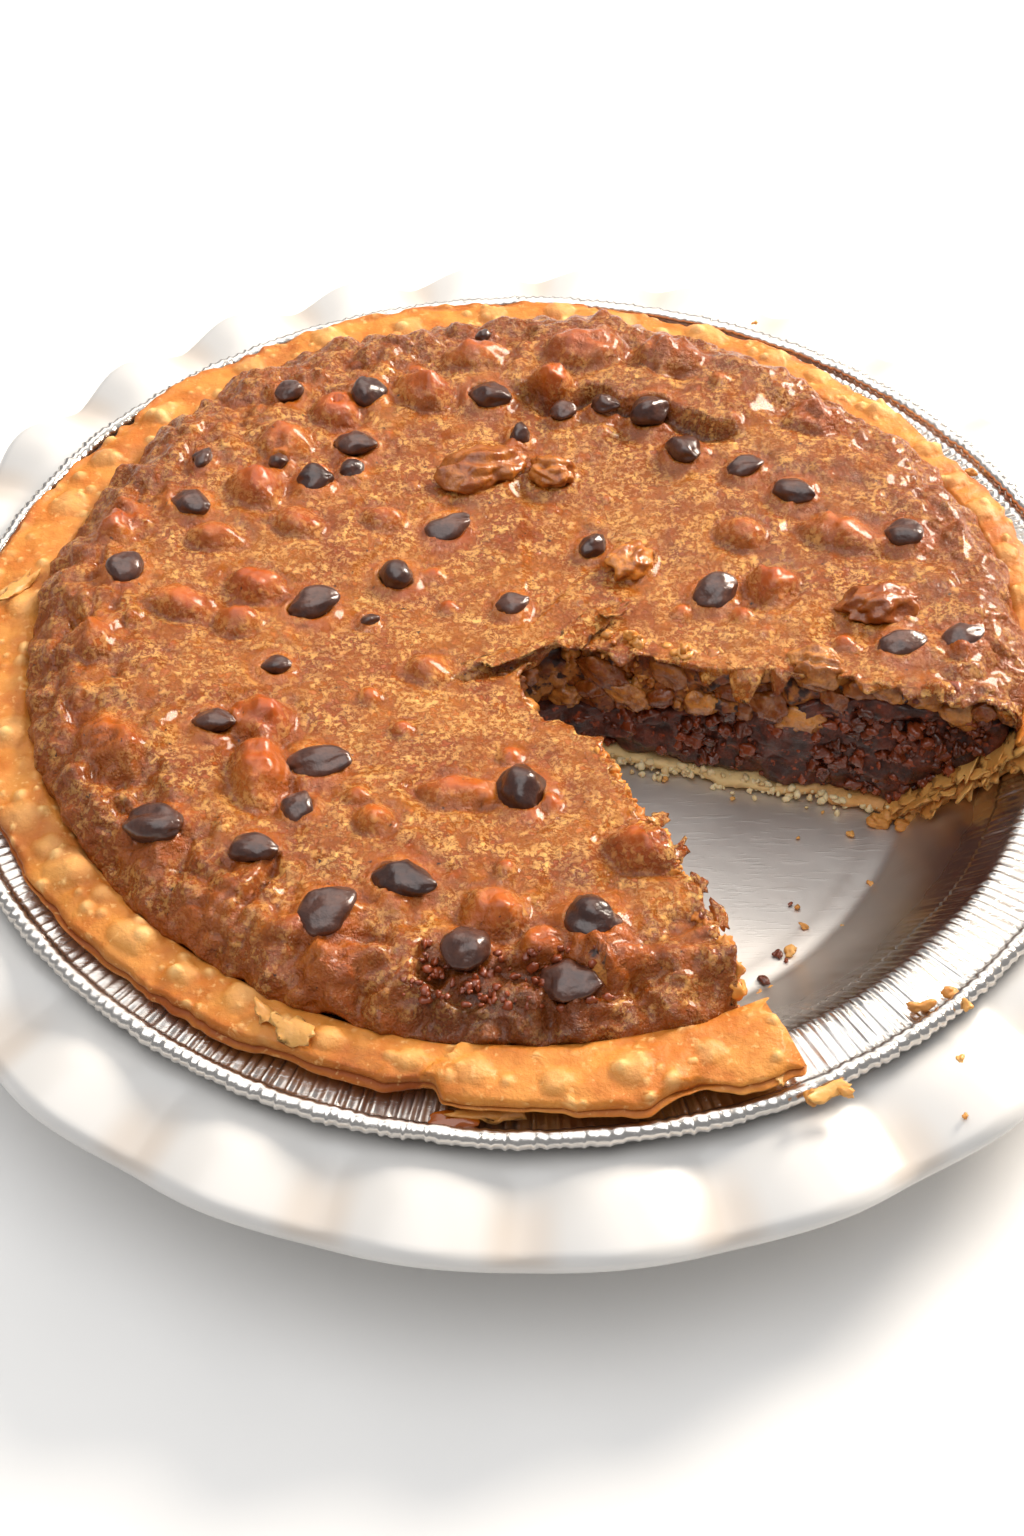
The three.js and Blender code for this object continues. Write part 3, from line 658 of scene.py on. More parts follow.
@dataclass(frozen=True)
class Finish:
    """A material: start() gives the tree and the place on the piece, close() the shader."""

    name: str

    def start(self) -> tuple[bpy.types.Material, bpy.types.NodeTree, bpy.types.NodeSocket]:
        """A new material, its empty tree and its Object coordinates.

        Returns:
            The material, its node tree, and the Object coordinates in it.
        """
        material = bpy.data.materials.new(self.name)
        material.use_nodes = True
        material.node_tree.nodes.clear()
        return material, material.node_tree, add_node(material.node_tree, "TexCoord", out=3)

    def close(self, tree: bpy.types.NodeTree, inputs: dict) -> None:
        """Adds the shader with its inputs, and the output."""
        add_node(tree, "OutputMaterial", {"Surface": add_node(tree, "BsdfPrincipled", inputs)})

    def marks(self, tree: bpy.types.NodeTree, *names: str) -> list[bpy.types.NodeSocket]:
        """The marks stored on the vertices under some names."""
        return [add_node(tree, "Attribute", out=2, attribute_name=name) for name in names]

    def spots(
        self, tree: bpy.types.NodeTree, place: bpy.types.NodeSocket, size: float, low: float, high: float,
        detail: float = 3.0,
    ) -> bpy.types.NodeSocket:
        """Soft random spots.

        Args:
            tree: the material's node tree.
            place: where the pattern is read.
            size: size of a spot in mm.
            low: the noise is 0 below this.
            high: and 1 above this.
            detail: how many finer noises are added.

        Returns:
            A value from 0 to 1.
        """
        noise = add_node(
            tree, "TexNoise", {"Vector": place, "Scale": per(size), "Detail": detail, "Roughness": 0.6}
        )
        return add_node(tree, "MapRange", {0: noise, 1: low, 2: high})

    def coats(self, tree: bpy.types.NodeTree, base: object, *over: tuple) -> bpy.types.NodeSocket:
        """Lays colours over a base.

        Args:
            tree: the material's node tree.
            base: the lowest colour.
            over: for each further colour, how much of it shows, and the colour.

        Returns:
            The colour on top.
        """
        for share, colour in over:
            base = add_node(tree, "Mix", {0: share, 6: base, 7: colour}, 2, data_type="RGBA")
        return base

    def relief(self, tree: bpy.types.NodeTree, *heights: tuple) -> bpy.types.NodeSocket:
        """Adds up fine reliefs.

        Args:
            tree: the material's node tree.
            heights: for each relief, its height from 0 to 1, and its depth in mm.

        Returns:
            The normal for the shader.
        """
        under: dict = {}
        for height, depth in heights:
            inputs = {"Height": height, "Strength": 1.0, "Distance": depth * MM} | under
            under = {"Normal": add_node(tree, "Bump", inputs)}
        return under["Normal"]


@dataclass(frozen=True)
class BakedSkin(Finish):
    """Crackled baked sugar skin: shiny caramel, flecked with dry golden flakes."""

    caramel: str = "#9c4606"
    tan: str = "#bc660d"
    fleck: str = "#ffc16c"
    toast_and_shade_colour: str = "#934505"
    orange: str = "#b04b05"
    dark: str = "#3c1a0c"

    def material(self) -> bpy.types.Material:
        """The skin of the filling.

        Returns:
            The new material.
        """
        material, tree, place = self.start()
        swell, toast_and_shade, dry, broken = self.marks(tree, "swell", "toast_and_shade", "dry", "broken")
        # papery flecks about a millimetre across, in drifts of 4.5 mm
        drift = add_node(tree, "MapRange", {0: self.spots(tree, place, 4.5, 0.4, 0.58, 5.0), 3: 0.1})
        fine = add_node(
            tree, "TexNoise",
            {"Vector": place, "Scale": per(1.15), "Detail": 5.0, "Roughness": 0.72, "Distortion": 0.4},
        )
        fleck = add_node(tree, "MapRange", {0: fine, 1: 0.475, 2: 0.56})
        fleck = add_node(tree, "Math", {0: fleck, 1: drift}, operation="MULTIPLY")
        fleck = add_node(tree, "Math", {0: fleck, 1: dry}, operation="MULTIPLY")
        colour = self.coats(
            tree, self.caramel,
            (self.spots(tree, place, 12, 0.38, 0.62), self.tan),
            (swell, self.orange),
            # shoulder colour where the skin is toasted, and painted shade in the hollows and round the
            # morsels
            (toast_and_shade, self.toast_and_shade_colour),
            (add_node(tree, "MapRange", {0: fleck, 4: 0.85}), self.fleck),
            (self.spots(tree, place, 1.8, 0.70, 0.76, 2.0), self.dark),
            (broken, self.dark),
        )
        crust = add_node(tree, "MapRange", {0: fine, 1: 0.4, 2: 0.62})
        crust = add_node(tree, "Math", {0: crust, 1: dry}, operation="MULTIPLY")
        grain = self.spots(tree, place, 1.4, 0.35, 0.65, 4.0)
        grain = add_node(tree, "Math", {0: grain, 1: toast_and_shade}, operation="MULTIPLY")
        low_bumps = self.spots(tree, place, 4, 0.3, 0.75, 1.0)
        self.close(tree, {
            "Base Color": colour,
            "Roughness": add_node(tree, "MapRange", {0: fleck, 3: 0.2, 4: 0.8}),
            "Normal": self.relief(tree, (crust, 0.45), (grain, 0.5), (low_bumps, 0.5)),
            "Subsurface Weight": 0.08, "Subsurface Radius": (1.0, 0.4, 0.15), "Subsurface Scale": 2 * MM,
            "Coat Weight": 0.34, "Coat Roughness": 0.13, "Specular IOR Level": 0.35,
        })
        return material


@dataclass(frozen=True)
class NutFilling(Finish):
    """Sticky brown-sugar nut filling where it was cut: amber, crumbly and wet in places, with painted shade
    in its torn hollows.
    """

    amber: str = "#8c430f"
    crumb: str = "#cc8234"
    wet_and_hollow_shade: str = "#351407"

    def material(self) -> bpy.types.Material:
        """The cut filling under the skin.

        Returns:
            The new material.
        """
        material, tree, place = self.start()
        cloud = self.spots(tree, place, 4, 0.42, 0.6)
        colour = self.coats(
            tree, self.amber,
            (cloud, self.crumb),
            (self.spots(tree, place, 2.6, 0.5, 0.62), self.wet_and_hollow_shade),
            # painted shade: the torn hollows of the cut are laid dark
            (*self.marks(tree, "deep"), self.wet_and_hollow_shade),
        )
        noise = {"Vector": place, "Scale": per(1.1), "Detail": 5.0, "Roughness": 0.7}
        fine = add_node(tree, "TexNoise", noise)
        self.close(tree, {
            "Base Color": colour,
            "Roughness": add_node(tree, "MapRange", {0: cloud, 3: 0.28, 4: 0.6}),
            "Normal": self.relief(tree, (fine, 0.8)),
            "Subsurface Weight": 0.1, "Subsurface Radius": (1.0, 0.4, 0.15), "Subsurface Scale": 2 * MM,
            "Coat Weight": 0.35, "Coat Roughness": 0.12,
        })
        return material


@dataclass(frozen=True)
class ChocolateFilling(Finish):
    """Dense baked chocolate filling, torn by the knife: nearly black, with wet red-brown glints."""

    dark: str = "#3a170c"
    brown: str = "#6a2d17"
    red: str = "#a8481c"

    def material(self) -> bpy.types.Material:
        """The cut chocolate layer.

        Returns:
            The new material.
        """
        material, tree, place = self.start()
        colour = self.coats(
            tree, self.dark,
            (self.spots(tree, place, 4, 0.4, 0.6), self.brown),
            (self.spots(tree, place, 1.9, 0.6, 0.68), self.red),
        )
        noise = {"Vector": place, "Scale": per(1.6), "Detail": 5.0, "Roughness": 0.65}
        fine = add_node(tree, "TexNoise", noise)
        self.close(tree, {
            "Base Color": colour,
            "Roughness": self.spots(tree, place, 3, 0.1, 0.9),
            "Normal": self.relief(tree, (fine, 1.0)),
            "Coat Weight": 0.35, "Coat Roughness": 0.1,
        })
        return material


@dataclass(frozen=True)
class BakedPastry(Finish):
    """Short pastry baked golden: oily tan, with pale dry blisters and browner edges."""

    golden: str = "#d1893a"
    oily: str = "#bd6c20"
    blister: str = "#efbd78"
    brown: str = "#9a4a10"
    pale: str = "#e2c48a"

    def material(self) -> bpy.types.Material:
        """The pastry case and its lip.

        Returns:
            The new material.
        """
        material, tree, place = self.start()
        brown, blister, pale = self.marks(tree, "brown", "blister", "pale")
        specks = self.spots(tree, place, 1.6, 0.62, 0.72, 2.0)
        colour = self.coats(
            tree, self.golden,
            (self.spots(tree, place, 8, 0.38, 0.62), self.oily),
            (brown, self.brown),
            (blister, self.blister),
            (add_node(tree, "MapRange", {0: specks, 4: 0.5}), self.blister),
            (pale, self.pale),
        )
        noise = {"Vector": place, "Scale": per(1.3), "Detail": 4.0, "Roughness": 0.6}
        fine = add_node(tree, "TexNoise", noise)
        self.close(tree, {
            "Base Color": colour,
            "Roughness": self.spots(tree, place, 6, -0.5, 1.4),
            "Normal": self.relief(tree, (fine, 0.34)),
            "Subsurface Weight": 0.1, "Subsurface Radius": (1.0, 0.6, 0.3), "Subsurface Scale": 2 * MM,
            "Coat Weight": 0.08, "Coat Roughness": 0.35, "Specular IOR Level": 0.3,
        })
        return material


@dataclass(frozen=True)
class TintedFood(Finish):
    """A plain food whose shapes each have their own tone between two colours."""

    low: str
    high: str
    roughness: float
    coat: float
    grain: float
    depth: float
    scatter: float = 0.0
    patches: float = 0.0

    def material(self) -> bpy.types.Material:
        """Morsels, nuts, crumbs, flakes and syrup.

        Returns:
            The new material.
        """
        material, tree, place = self.start()
        fine = add_node(
            tree, "TexNoise", {"Vector": place, "Scale": per(self.grain), "Detail": 3.0, "Roughness": 0.6}
        )
        patch = self.spots(tree, place, 3.4, 0.44, 0.6)
        colour = self.coats(
            tree, self.low,
            (*self.marks(tree, "tone"), self.high),
            (add_node(tree, "MapRange", {0: fine, 1: 0.35, 2: 0.7, 4: 0.3}), self.high),
            (add_node(tree, "MapRange", {0: patch, 4: self.patches}), self.low),
        )
        self.close(tree, {
            "Base Color": colour,
            "Roughness": self.roughness,
            "Normal": self.relief(tree, (fine, self.depth)),
            "Subsurface Weight": self.scatter, "Subsurface Radius": (1.0, 0.5, 0.25),
            "Subsurface Scale": 2 * MM, "Coat Weight": self.coat, "Coat Roughness": 0.2,
            "Specular IOR Level": 0.4,
        })
        return material


# Dark chocolate that has melted and set again: smooth, with a soft shine and a greyer bloom
DARK_CHOCOLATE = TintedFood(
    "dark_chocolate", "#2c1008", "#7a4e3c", roughness=0.32, coat=0.7, grain=2.6, depth=0.5, patches=0.6
)
# Walnut roasted under a thin coat of syrup: brown and shiny, lighter on its ridges
ROASTED_WALNUT = TintedFood(
    "roasted_walnut", "#7f3808", "#cb7e2e", roughness=0.25, coat=0.35, grain=1.6, depth=0.45, scatter=0.1,
    patches=0.7,
)
# Walnut broken by the knife: paler, and wet with filling
CUT_WALNUT = TintedFood(
    "cut_walnut", "#783306", "#dd9546",
    roughness=0.18, coat=0.55, grain=1.6, depth=0.8, scatter=0.2, patches=0.6,
)
# Crumbs of the chocolate filling: dark, with wet glints
CHOCOLATE_LUMP = TintedFood(
    "chocolate_lump", "#3a170c", "#8e3f1c", roughness=0.22, coat=0.5, grain=1.4, depth=0.4
)
# Crumbs of the nut filling: amber and sticky
FILLING_CRUMB = TintedFood(
    "filling_crumb", "#8f440e", "#e09a48", roughness=0.3, coat=0.4, grain=1.4, depth=0.4, scatter=0.1
)
# Golden pastry in thin flakes and crumbs: dry, and nearly dull
PASTRY_FLAKE = TintedFood(
    "pastry_flake", "#c07c34", "#dca45a", roughness=0.5, coat=0.1, grain=1.2, depth=0.2, scatter=0.15
)
# Pastry from the floor of the case, which bakes pale: dull and mealy
PALE_CRUMB = TintedFood(
    "pale_pastry_crumb", "#d3b27a", "#ecd9ae", roughness=0.6, coat=0.0, grain=1.0, depth=0.2, scatter=0.2
)
# Crumbs of the baked skin: dry and golden
TORN_CRUMB = TintedFood(
    "torn_skin", "#a8560f", "#dd9440", roughness=0.45, coat=0.15, grain=1.2, depth=0.25, scatter=0.1
)
# Baked sugar syrup: dark amber, with a wet shine
AMBER_SYRUP = TintedFood(
    "amber_syrup", "#7c3402", "#a45208", roughness=0.1, coat=0.6, grain=4.0, depth=0.1, scatter=0.1
)


@dataclass(frozen=True)
class Foil(Finish):
    """Rolled aluminium foil: bright, with fine scratches from the mill and the knife."""

    bright: str = "#d8d3cd"
    roughness: float = 0.2

    def material(self) -> bpy.types.Material:
        """The tin.

        Returns:
            The new material.
        """
        material, tree, place = self.start()
        stretch = {"Vector": place, "Rotation": (0, 0, 0.5), "Scale": (1.0, 9.0, 1.0)}
        streaks = add_node(tree, "Mapping", stretch)
        scratches = self.spots(tree, streaks, 6, 0.56, 0.62, 5.0)
        smudges = self.spots(tree, place, 26, 0.3, 0.7)
        haze = add_node(tree, "MapRange", {0: smudges, 3: self.roughness, 4: self.roughness + 0.1})
        worn = add_node(tree, "Math", {0: self.marks(tree, "worn")[0], 1: 0.22}, operation="MULTIPLY")
        dents = self.spots(tree, place, 12, 0.2, 0.8, 2.0)
        self.close(tree, {
            "Base Color": self.bright, "Metallic": 1.0,
            "Roughness": add_node(tree, "Math", {0: haze, 1: worn}, operation="ADD"),
            "Normal": self.relief(tree, (scratches, 0.012), (dents, 0.08)),
        })
        return material


@dataclass(frozen=True)
class WhiteGlaze(Finish):
    """Thick white glaze on stoneware: smooth, with a clear shine, with painted beige shade in the valleys of
    the flutes.
    """

    white: str = "#d0cecb"
    flute_shade_colour: str = "#c4b8ac"

    def material(self) -> bpy.types.Material:
        """The dish.

        Returns:
            The new material.
        """
        material, tree, place = self.start()
        self.close(tree, {
            "Base Color": self.coats(tree, self.white, (*self.marks(tree, "flute_shade"), self.flute_shade_colour)),
            "Roughness": 0.3, "Coat Weight": 0.15, "Coat Roughness": 0.15,
            "Normal": self.relief(tree, (self.spots(tree, place, 18, 0.2, 0.8, 1.0), 0.1)),
        })
        return material


# ------------------------------------------------------------------ dish and tin


@dataclass
class PieDish:
    """The ceramic dish with its ruffled rim."""

    steps: int = 624
    ruffles: int = 26
    uneven: float = 0.07
    valley: float = -91.0
    rise: float = 1.9
    reach: float = 1.1
    profile: list[tuple[float, float, float]] = field(default_factory=lambda: [
        (0, 2.2, 0), (79.8, 2.2, 1), (80.6, 0, 0.6), (88, 0, 1.2), (116, 25, 6), (139.5, 26.5, 4),
        (142, 29, 2.4), (140.2, 31.6, 2.4), (131, 32.7, 5), (119, 32.3, 4), (111.5, 28.5, 5), (87, 7.55, 6),
        (0, 7.55, 0),
    ])

    def build(self, finish: bpy.types.Material) -> bpy.types.Object:
        """Spins the dish and presses the ruffles into its rim.

        Args:
            finish: the material it takes.

        Returns:
            The piece.
        """
        obj = spin("ruffled_dish", rounded(self.profile, 3.2), self.steps)
        points = places(obj)
        radius = np.hypot(points[:, 0], points[:, 1])
        turn = (azimuths(points) - self.valley + 180) % 360 - 180
        warped = turn - self.uneven * np.degrees(np.sin(np.radians(turn)))
        crest = (1 - np.cos(np.radians(warped) * self.ruffles)) / 2
        wave = (2 * crest**0.8 - 1) * smooth(radius, 117, 130)
        stretch = 1 + self.reach * wave / np.maximum(radius, 1)
        points[:, :2] *= stretch[:, None]
        points[:, 2] += self.rise * wave
        rim = smooth(radius, 124, 136) * (1 - smooth(radius, 140.5, 142))
        # painted shade: beige laid in the valleys of the flutes near the edge of the rim
        mark(obj, "flute_shade", 0.8 * smooth(-wave, -0.1, 0.9) * rim)
        put(obj, points)
        keep(obj, finish, ["dish"])
        return obj


@dataclass
class FoilTin:
    """The foil tin: flat floor, sloping side with soft folds, pleated flange and a crimped bead."""

    pleats: int = 336
    # radius of the bead's circle, its height and its own half thickness
    bead: tuple[float, float, float] = (120.3, BEAD_HEIGHT, 1.7)
    wall_top: tuple[float, float] = (103.2, 30.15)
    foil: float = 0.45

    def rim(self) -> np.ndarray:
        """Round the flange and the bead: upper face outwards, back underneath, and closed.

        Returns:
            Radius and height in mm, one point a row.
        """
        radius, height = self.wall_top
        inner = [(radius - 1.8, height - 2, 0), (radius, height + 0.15, 1)]
        upper = rounded([*inner, (107.7, 35.1, 2.0), (118.7, 35.6, 0)], 1.5)
        middle, high, size = self.bead
        angles = np.radians(np.linspace(205, -85, 13))
        roll = np.stack([middle + size * np.cos(angles), high + size * np.sin(angles)], 1)
        lower = rounded([(119.6, 34.9, 0), (108.2, 34.5, 2), (radius + 0.2, height - self.foil, 0)], 3.0)
        return np.concatenate([upper, roll, lower, upper[:1]])

    def pan(self) -> np.ndarray:
        """The floor and the side, up to just past the rim's inner edge.

        Returns:
            Radius and height in mm, one point a row.
        """
        radius, height = self.wall_top
        step = TIN_FLOOR + 0.5
        floor = [(0, TIN_FLOOR, 0), (76.5, TIN_FLOOR, 2), (79.5, step, 2), (83.6, step, 2)]
        path = rounded([*floor, (radius - 0.2, height - 0.4, 0)], 2.1)
        under = rounded([(radius, height - 0.6, 0), (84.6, 8.1, 2), (83, 7.9, 0), (0, 7.9, 0)], 6.0)
        return np.concatenate([path, under])

    def fold(self, obj: bpy.types.Object) -> None:
        """Presses the pleats, the folds and the crimps into a spun piece.

        Args:
            obj: the piece.
        """
        points = places(obj)
        azimuth = azimuths(points)
        radius = np.hypot(points[:, 0], points[:, 1])
        drift = 2.2 * round_the_pie(azimuth, 60, 4) + 0.9 * round_the_pie(azimuth, 200, 9)
        slant = 0.16 * (radius - 112) * round_the_pie(azimuth, 70, 31)
        phase = np.radians(azimuth) * self.pleats + drift + slant
        wave = 1 - 2 * np.abs(np.sin(0.5 * phase)) ** 0.8 + 0.25 * np.sin(1.5 * phase + 0.6)
        strength = 0.8 + 0.5 * round_the_pie(azimuth, 110, 12)
        flange = smooth(radius, 104.5, 108.5) * (1 - 0.8 * smooth(radius, 117.4, 118.9))
        points[:, 2] += 0.36 * wave * strength * flange
        side = smooth(points[:, 2], 10, 30) * (1 - flange)
        folds = 0.3 * wave * strength * smooth(points[:, 2], 22, 33) + 0.4 * round_the_pie(azimuth, 46, 21)
        folds = folds + 0.18 * round_the_pie(azimuth, 230, 22)
        points[:, :2] *= (1 + side * folds / np.maximum(radius, 1))[:, None]
        rim = smooth(radius, 118.3, 119.2)
        crimp = 0.24 * rough(points, 3.6, 5, 2) + 0.05 * wave * (0.6 + 0.5 * round_the_pie(azimuth, 120, 2))
        turn = np.radians(azimuth)
        middle, high, _ = self.bead
        centre = np.stack([middle * np.cos(turn), middle * np.sin(turn), np.full(len(points), high)], 1)
        away = points - centre
        points += away / np.maximum(np.linalg.norm(away, axis=1), 0.2)[:, None] * (crimp * rim)[:, None]
        points[:, 2] += 0.12 * rough(points * (1, 1, 0), 26, 6) * (1 - smooth(radius, 70, 76))
        mark(obj, "worn", 1 - smooth(points[:, 2], 12, 26))
        put(obj, points)

    def build(self, finish: bpy.types.Material) -> None:
        """Spins the rim and the pan and folds both."""
        for name, profile, steps in (
            ("pleated_rim", self.rim(), self.pleats * 5), ("tin_pan", self.pan(), self.pleats * 3)
        ):
            obj = spin(name, profile, steps)
            self.fold(obj)
            keep(obj, finish, ["tin"])


# ------------------------------------------------------------------ pastry


@dataclass
class PastryLip:
    """The lip of the case: a wandering two-ply sheet of pastry with baked bubbles."""

    columns: int = 1180
    width: float = 11.0
    ends: tuple[float, float] = (-17.6, 293.5)
    bead: float = 116.5
    over_bead: float = 38.6
    # across the lip: share of the way out, height
    section: list[tuple[float, float]] = field(default_factory=lambda: [
        (-0.06, 35.6), (-0.06, 39.4), (0.0, 40.1), (0.1, 40.6), (0.3, 40.9), (0.5, 41.0), (0.72, 40.8),
        (0.88, 40.5), (0.95, 40.3), (0.985, 39.9), (1.0, 39.3), (0.995, 38.7), (0.96, 38.35), (0.965, 38.05),
        (1.015, 37.8), (1.025, 37.3), (1.0, 36.9), (0.93, 36.6), (0.5, 36.1), (0.1, 35.9),
    ])
    # large bubbles: x, y, half width, rise
    bubbles: list[tuple[float, float, float, float]] = field(default_factory=lambda: [
        (-86.3, -63.0, 7.0, 2.2), (-73.0, -79.5, 5.2, 1.8), (-98.7, -50.5, 5.0, 1.6),
        (-92.0, -58.0, 4.0, 1.2), (-47.3, 100.5, 5.5, 1.8), (44.1, 103.0, 6.0, 2.2), (-102.4, 40.0, 5.5, 1.6),
        (-66.0, 90.0, 4.5, 1.4), (-104.0, -28.0, 5.0, 1.5), (-106.0, 8.0, 5.0, 1.6), (17.0, -109.0, 4.5, 1.5),
        (31.0, -106.0, 3.6, 1.2), (83.0, 72.0, 4.0, 1.6), (101.0, 36.0, 4.5, 1.8), (106.0, 10.0, 4.0, 1.5),
        (60.0, 92.0, 3.5, 1.5), (-10.0, -110.0, 4.0, 1.3), (-52.0, -93.0, 4.5, 1.3),
        (-36.0, -102.0, 3.5, 1.2), (-8.0, 110.0, 4.0, 1.4), (70.0, 85.0, 3.6, 1.5), (92.0, 58.0, 3.6, 1.6),
        (97.0, 47.0, 3.4, 1.5), (104.0, 22.0, 3.6, 1.5), (4.0, -112.0, 3.4, 1.2), (8.9, 110.5, 4.5, 1.6),
        (24.0, 107.0, 4.0, 1.4), (-28.0, 106.0, 4.2, 1.4), (-86.0, 72.0, 4.6, 1.6), (-96.0, 56.0, 4.0, 1.4),
        (-22.0, -106.5, 3.2, 1.1), (-63.0, -88.0, 3.2, 1.2), (-80.0, -70.0, 3.0, 1.2),
    ])

    def outer(self, azimuth: np.ndarray) -> np.ndarray:
        """Outer radius of the lip, as the solid has it.

        Args:
            azimuth: in degrees.

        Returns:
            Radii in mm.
        """
        patch = smooth(azimuth, -99, -97.6) * smooth(-azimuth, 60, 63)
        edge = 114 + 2.6 * np.cos(np.radians(azimuth - 150)) + 1.1 * round_the_pie(azimuth, 34, 7)
        edge = edge + (3.6 + 3.4 * (azimuth + 99) / 39) * patch
        return edge - 3.2 * hump(((azimuth + 76.5 + 180) % 360 - 180) / 4.5)

    def dense_section(self) -> np.ndarray:
        """The section with points between its own, closer together above the bead.

        Returns:
            Share of the way out, and height in mm, one point a row.
        """
        rows = [self.section[0]]
        for a, b in zip(self.section, [*self.section[1:], self.section[0]]):
            length = math.hypot((b[0] - a[0]) * self.width, b[1] - a[1])
            fine = 0.45 if max(a[1], b[1]) > 36.7 else 2.4
            count = max(1, round(length / fine))
            for i in range(1, count + 1):
                rows.append((a[0] + (b[0] - a[0]) * i / count, a[1] + (b[1] - a[1]) * i / count))
        return np.array(rows[:-1])

    def build(self, finish: bpy.types.Material) -> bpy.types.Object:
        """Sweeps the section round the pie and raises the bubbles.

        Args:
            finish: the material it takes.

        Returns:
            The piece.
        """
        across, height = self.dense_section().T
        count = len(across)
        step = np.linspace(0, 1, self.columns)[:, None]
        torn = 1.5 * rough(np.stack([across * self.width, height, np.zeros(count)], 1), 2.0, 4, 3)
        azimuth = (self.ends[0] - torn) * (1 - step) + (self.ends[1] + torn) * step
        azimuth = ((azimuth + 180) % 360 - 180).ravel()
        share = np.tile(across, self.columns)
        level = np.tile(height, self.columns)
        inner = filling_edge(azimuth) + 0.2
        ragged = 0.6 * round_the_pie(azimuth, 110, 31) + 0.55 * round_the_pie(azimuth, 300, 12)
        lower = smooth(-level, -38.2, -37.9)
        ply = lower * (0.2 + 0.9 * round_the_pie(azimuth, 46, 17)) * smooth(share, 0.8, 1)
        radius = inner + (self.outer(azimuth) + ragged - inner) * share + ply
        turn = np.radians(azimuth)
        points = np.stack([radius * np.cos(turn), radius * np.sin(turn), level], 1)
        top = smooth(level, 39.2, 40.2)
        flat = points * (1, 1, 0)
        away, tone = grains(flat, 4.6, 3)
        small = hump(np.clip(away / (0.16 + 0.3 * tone), 0, 1)) * smooth(tone, 0.2, 0.5)
        tiny_away, tiny_tone = grains(flat, 2.5, 8)
        tiny = hump(np.clip(tiny_away / 0.34, 0, 1)) * smooth(tiny_tone, 0.5, 0.8)
        big = np.zeros(len(points))
        middling_away, middling_tone = grains(flat, 8.0, 5)
        wobbly = middling_away * (1 + 0.3 * rough(flat, 2.2, 14))
        middling = hump(np.clip(wobbly / (0.15 + 0.13 * middling_tone), 0, 1)) ** 0.5
        middling = middling * smooth(middling_tone, 0.35, 0.6)
        small = np.maximum(small, middling)
        rise = 1.15 * small + 0.6 * tiny + 0.7 * rough(flat, 9, 2, 3)
        for x, y, width, lift in self.bubbles:
            q = np.hypot(points[:, 0] - x, points[:, 1] - y) / width
            q = q * (1 + 0.24 * rough(flat, 0.8 * width, x, 2))
            dome = hump(q * 1.15) ** 0.42
            big = np.maximum(big, dome)
            rise += 0.8 * lift * dome
        slant = azimuth + 3.2 * share + 0.5 * rough(flat, 2.2, 6, 2)
        patch = smooth(slant, -97.6, -97.2) * smooth(-azimuth, 60, 61)
        points[:, 2] += top * (rise * smooth(share, -0.02, 0.12) + 1.3 * patch) + 0.5 * (1 - top) * patch
        points[:, 2] += (1 - top) * 0.5 * round_the_pie(azimuth, 60, 5) * smooth(share, 0.6, 1)
        over = smooth(radius, self.bead - 2, self.bead)
        clear = self.over_bead + 0.5 * share + 0.5 * (level - 36)
        lifted = over * clear + (1 - over) * points[:, 2]
        points[:, 2] = np.where(over > 0, np.maximum(points[:, 2], lifted), points[:, 2])
        index = np.arange(self.columns * count).reshape(self.columns, count)
        a, b = index[:-1], index[1:]
        quads = np.stack([a, b, np.roll(b, -1, 1), np.roll(a, -1, 1)], 2).reshape(-1, 4).tolist()
        obj = new_piece("pastry_lip", points, [], [*quads, index[0].tolist(), index[-1, ::-1].tolist()])
        mark(obj, "blister", np.clip(top * (0.95 * small + 1.0 * tiny + 0.4 * big), 0, 1))
        # darker over the lower side, and painted shade along the seam between the two plies
        side = 1 - smooth(level, 38.2, 40.0)
        brown = 0.45 * side + 0.6 * hump((level - 38.2) / 0.5) + 0.5 * smooth(rough(flat, 9, 5, 2), 0.1, 0.9)
        brown = brown + 0.4 * smooth(share, 0.86, 0.97) * top - 0.5 * patch
        mark(obj, "brown", np.clip(brown, 0, 1))
        mark(obj, "pale", np.zeros(len(points)))
        mend(obj, 1e-4)
        keep(obj, finish, ["crust"])
        return obj


@dataclass
class PastryCase:
    """The wall and floor of the case, torn along the cut."""

    pitch: float = 1.25
    top: float = 36.4

    def build(self, finish: bpy.types.Material) -> bpy.types.Object:
        """Roughens the torn edges of the case.

        Args:
            finish: the material it takes.

        Returns:
            The piece.
        """
        obj = copy_solid("crust", "pastry_case")
        halve(obj, (0, 0, self.top), (0, 0, 1))
        refine(obj, self.pitch, 2)
        points, normals = places(obj), facing(obj)
        torn = 1 - smooth(np.abs(Side.BACK.off(points) + 3), 3, 8)
        away, tone = grains(points * (1, 1, 2), 4.0, 6)
        points += normals * (torn * (1.3 * (0.5 - away) + 0.6 * rough(points, 2.2, 3)))[:, None]
        mark(obj, "blister", 0.4 * tone * torn)
        mark(obj, "brown", 0.3 * smooth(rough(points, 5, 9), 0, 0.7))
        out = points[:, :2] @ Side.BACK.along
        mark(obj, "pale", (1 - smooth(points[:, 2], 11, 20)) * (1 - 0.8 * smooth(out, 48, 74)))
        put(obj, points)
        keep(obj, finish, ["crust"])
        return obj


# ------------------------------------------------------------------ filling


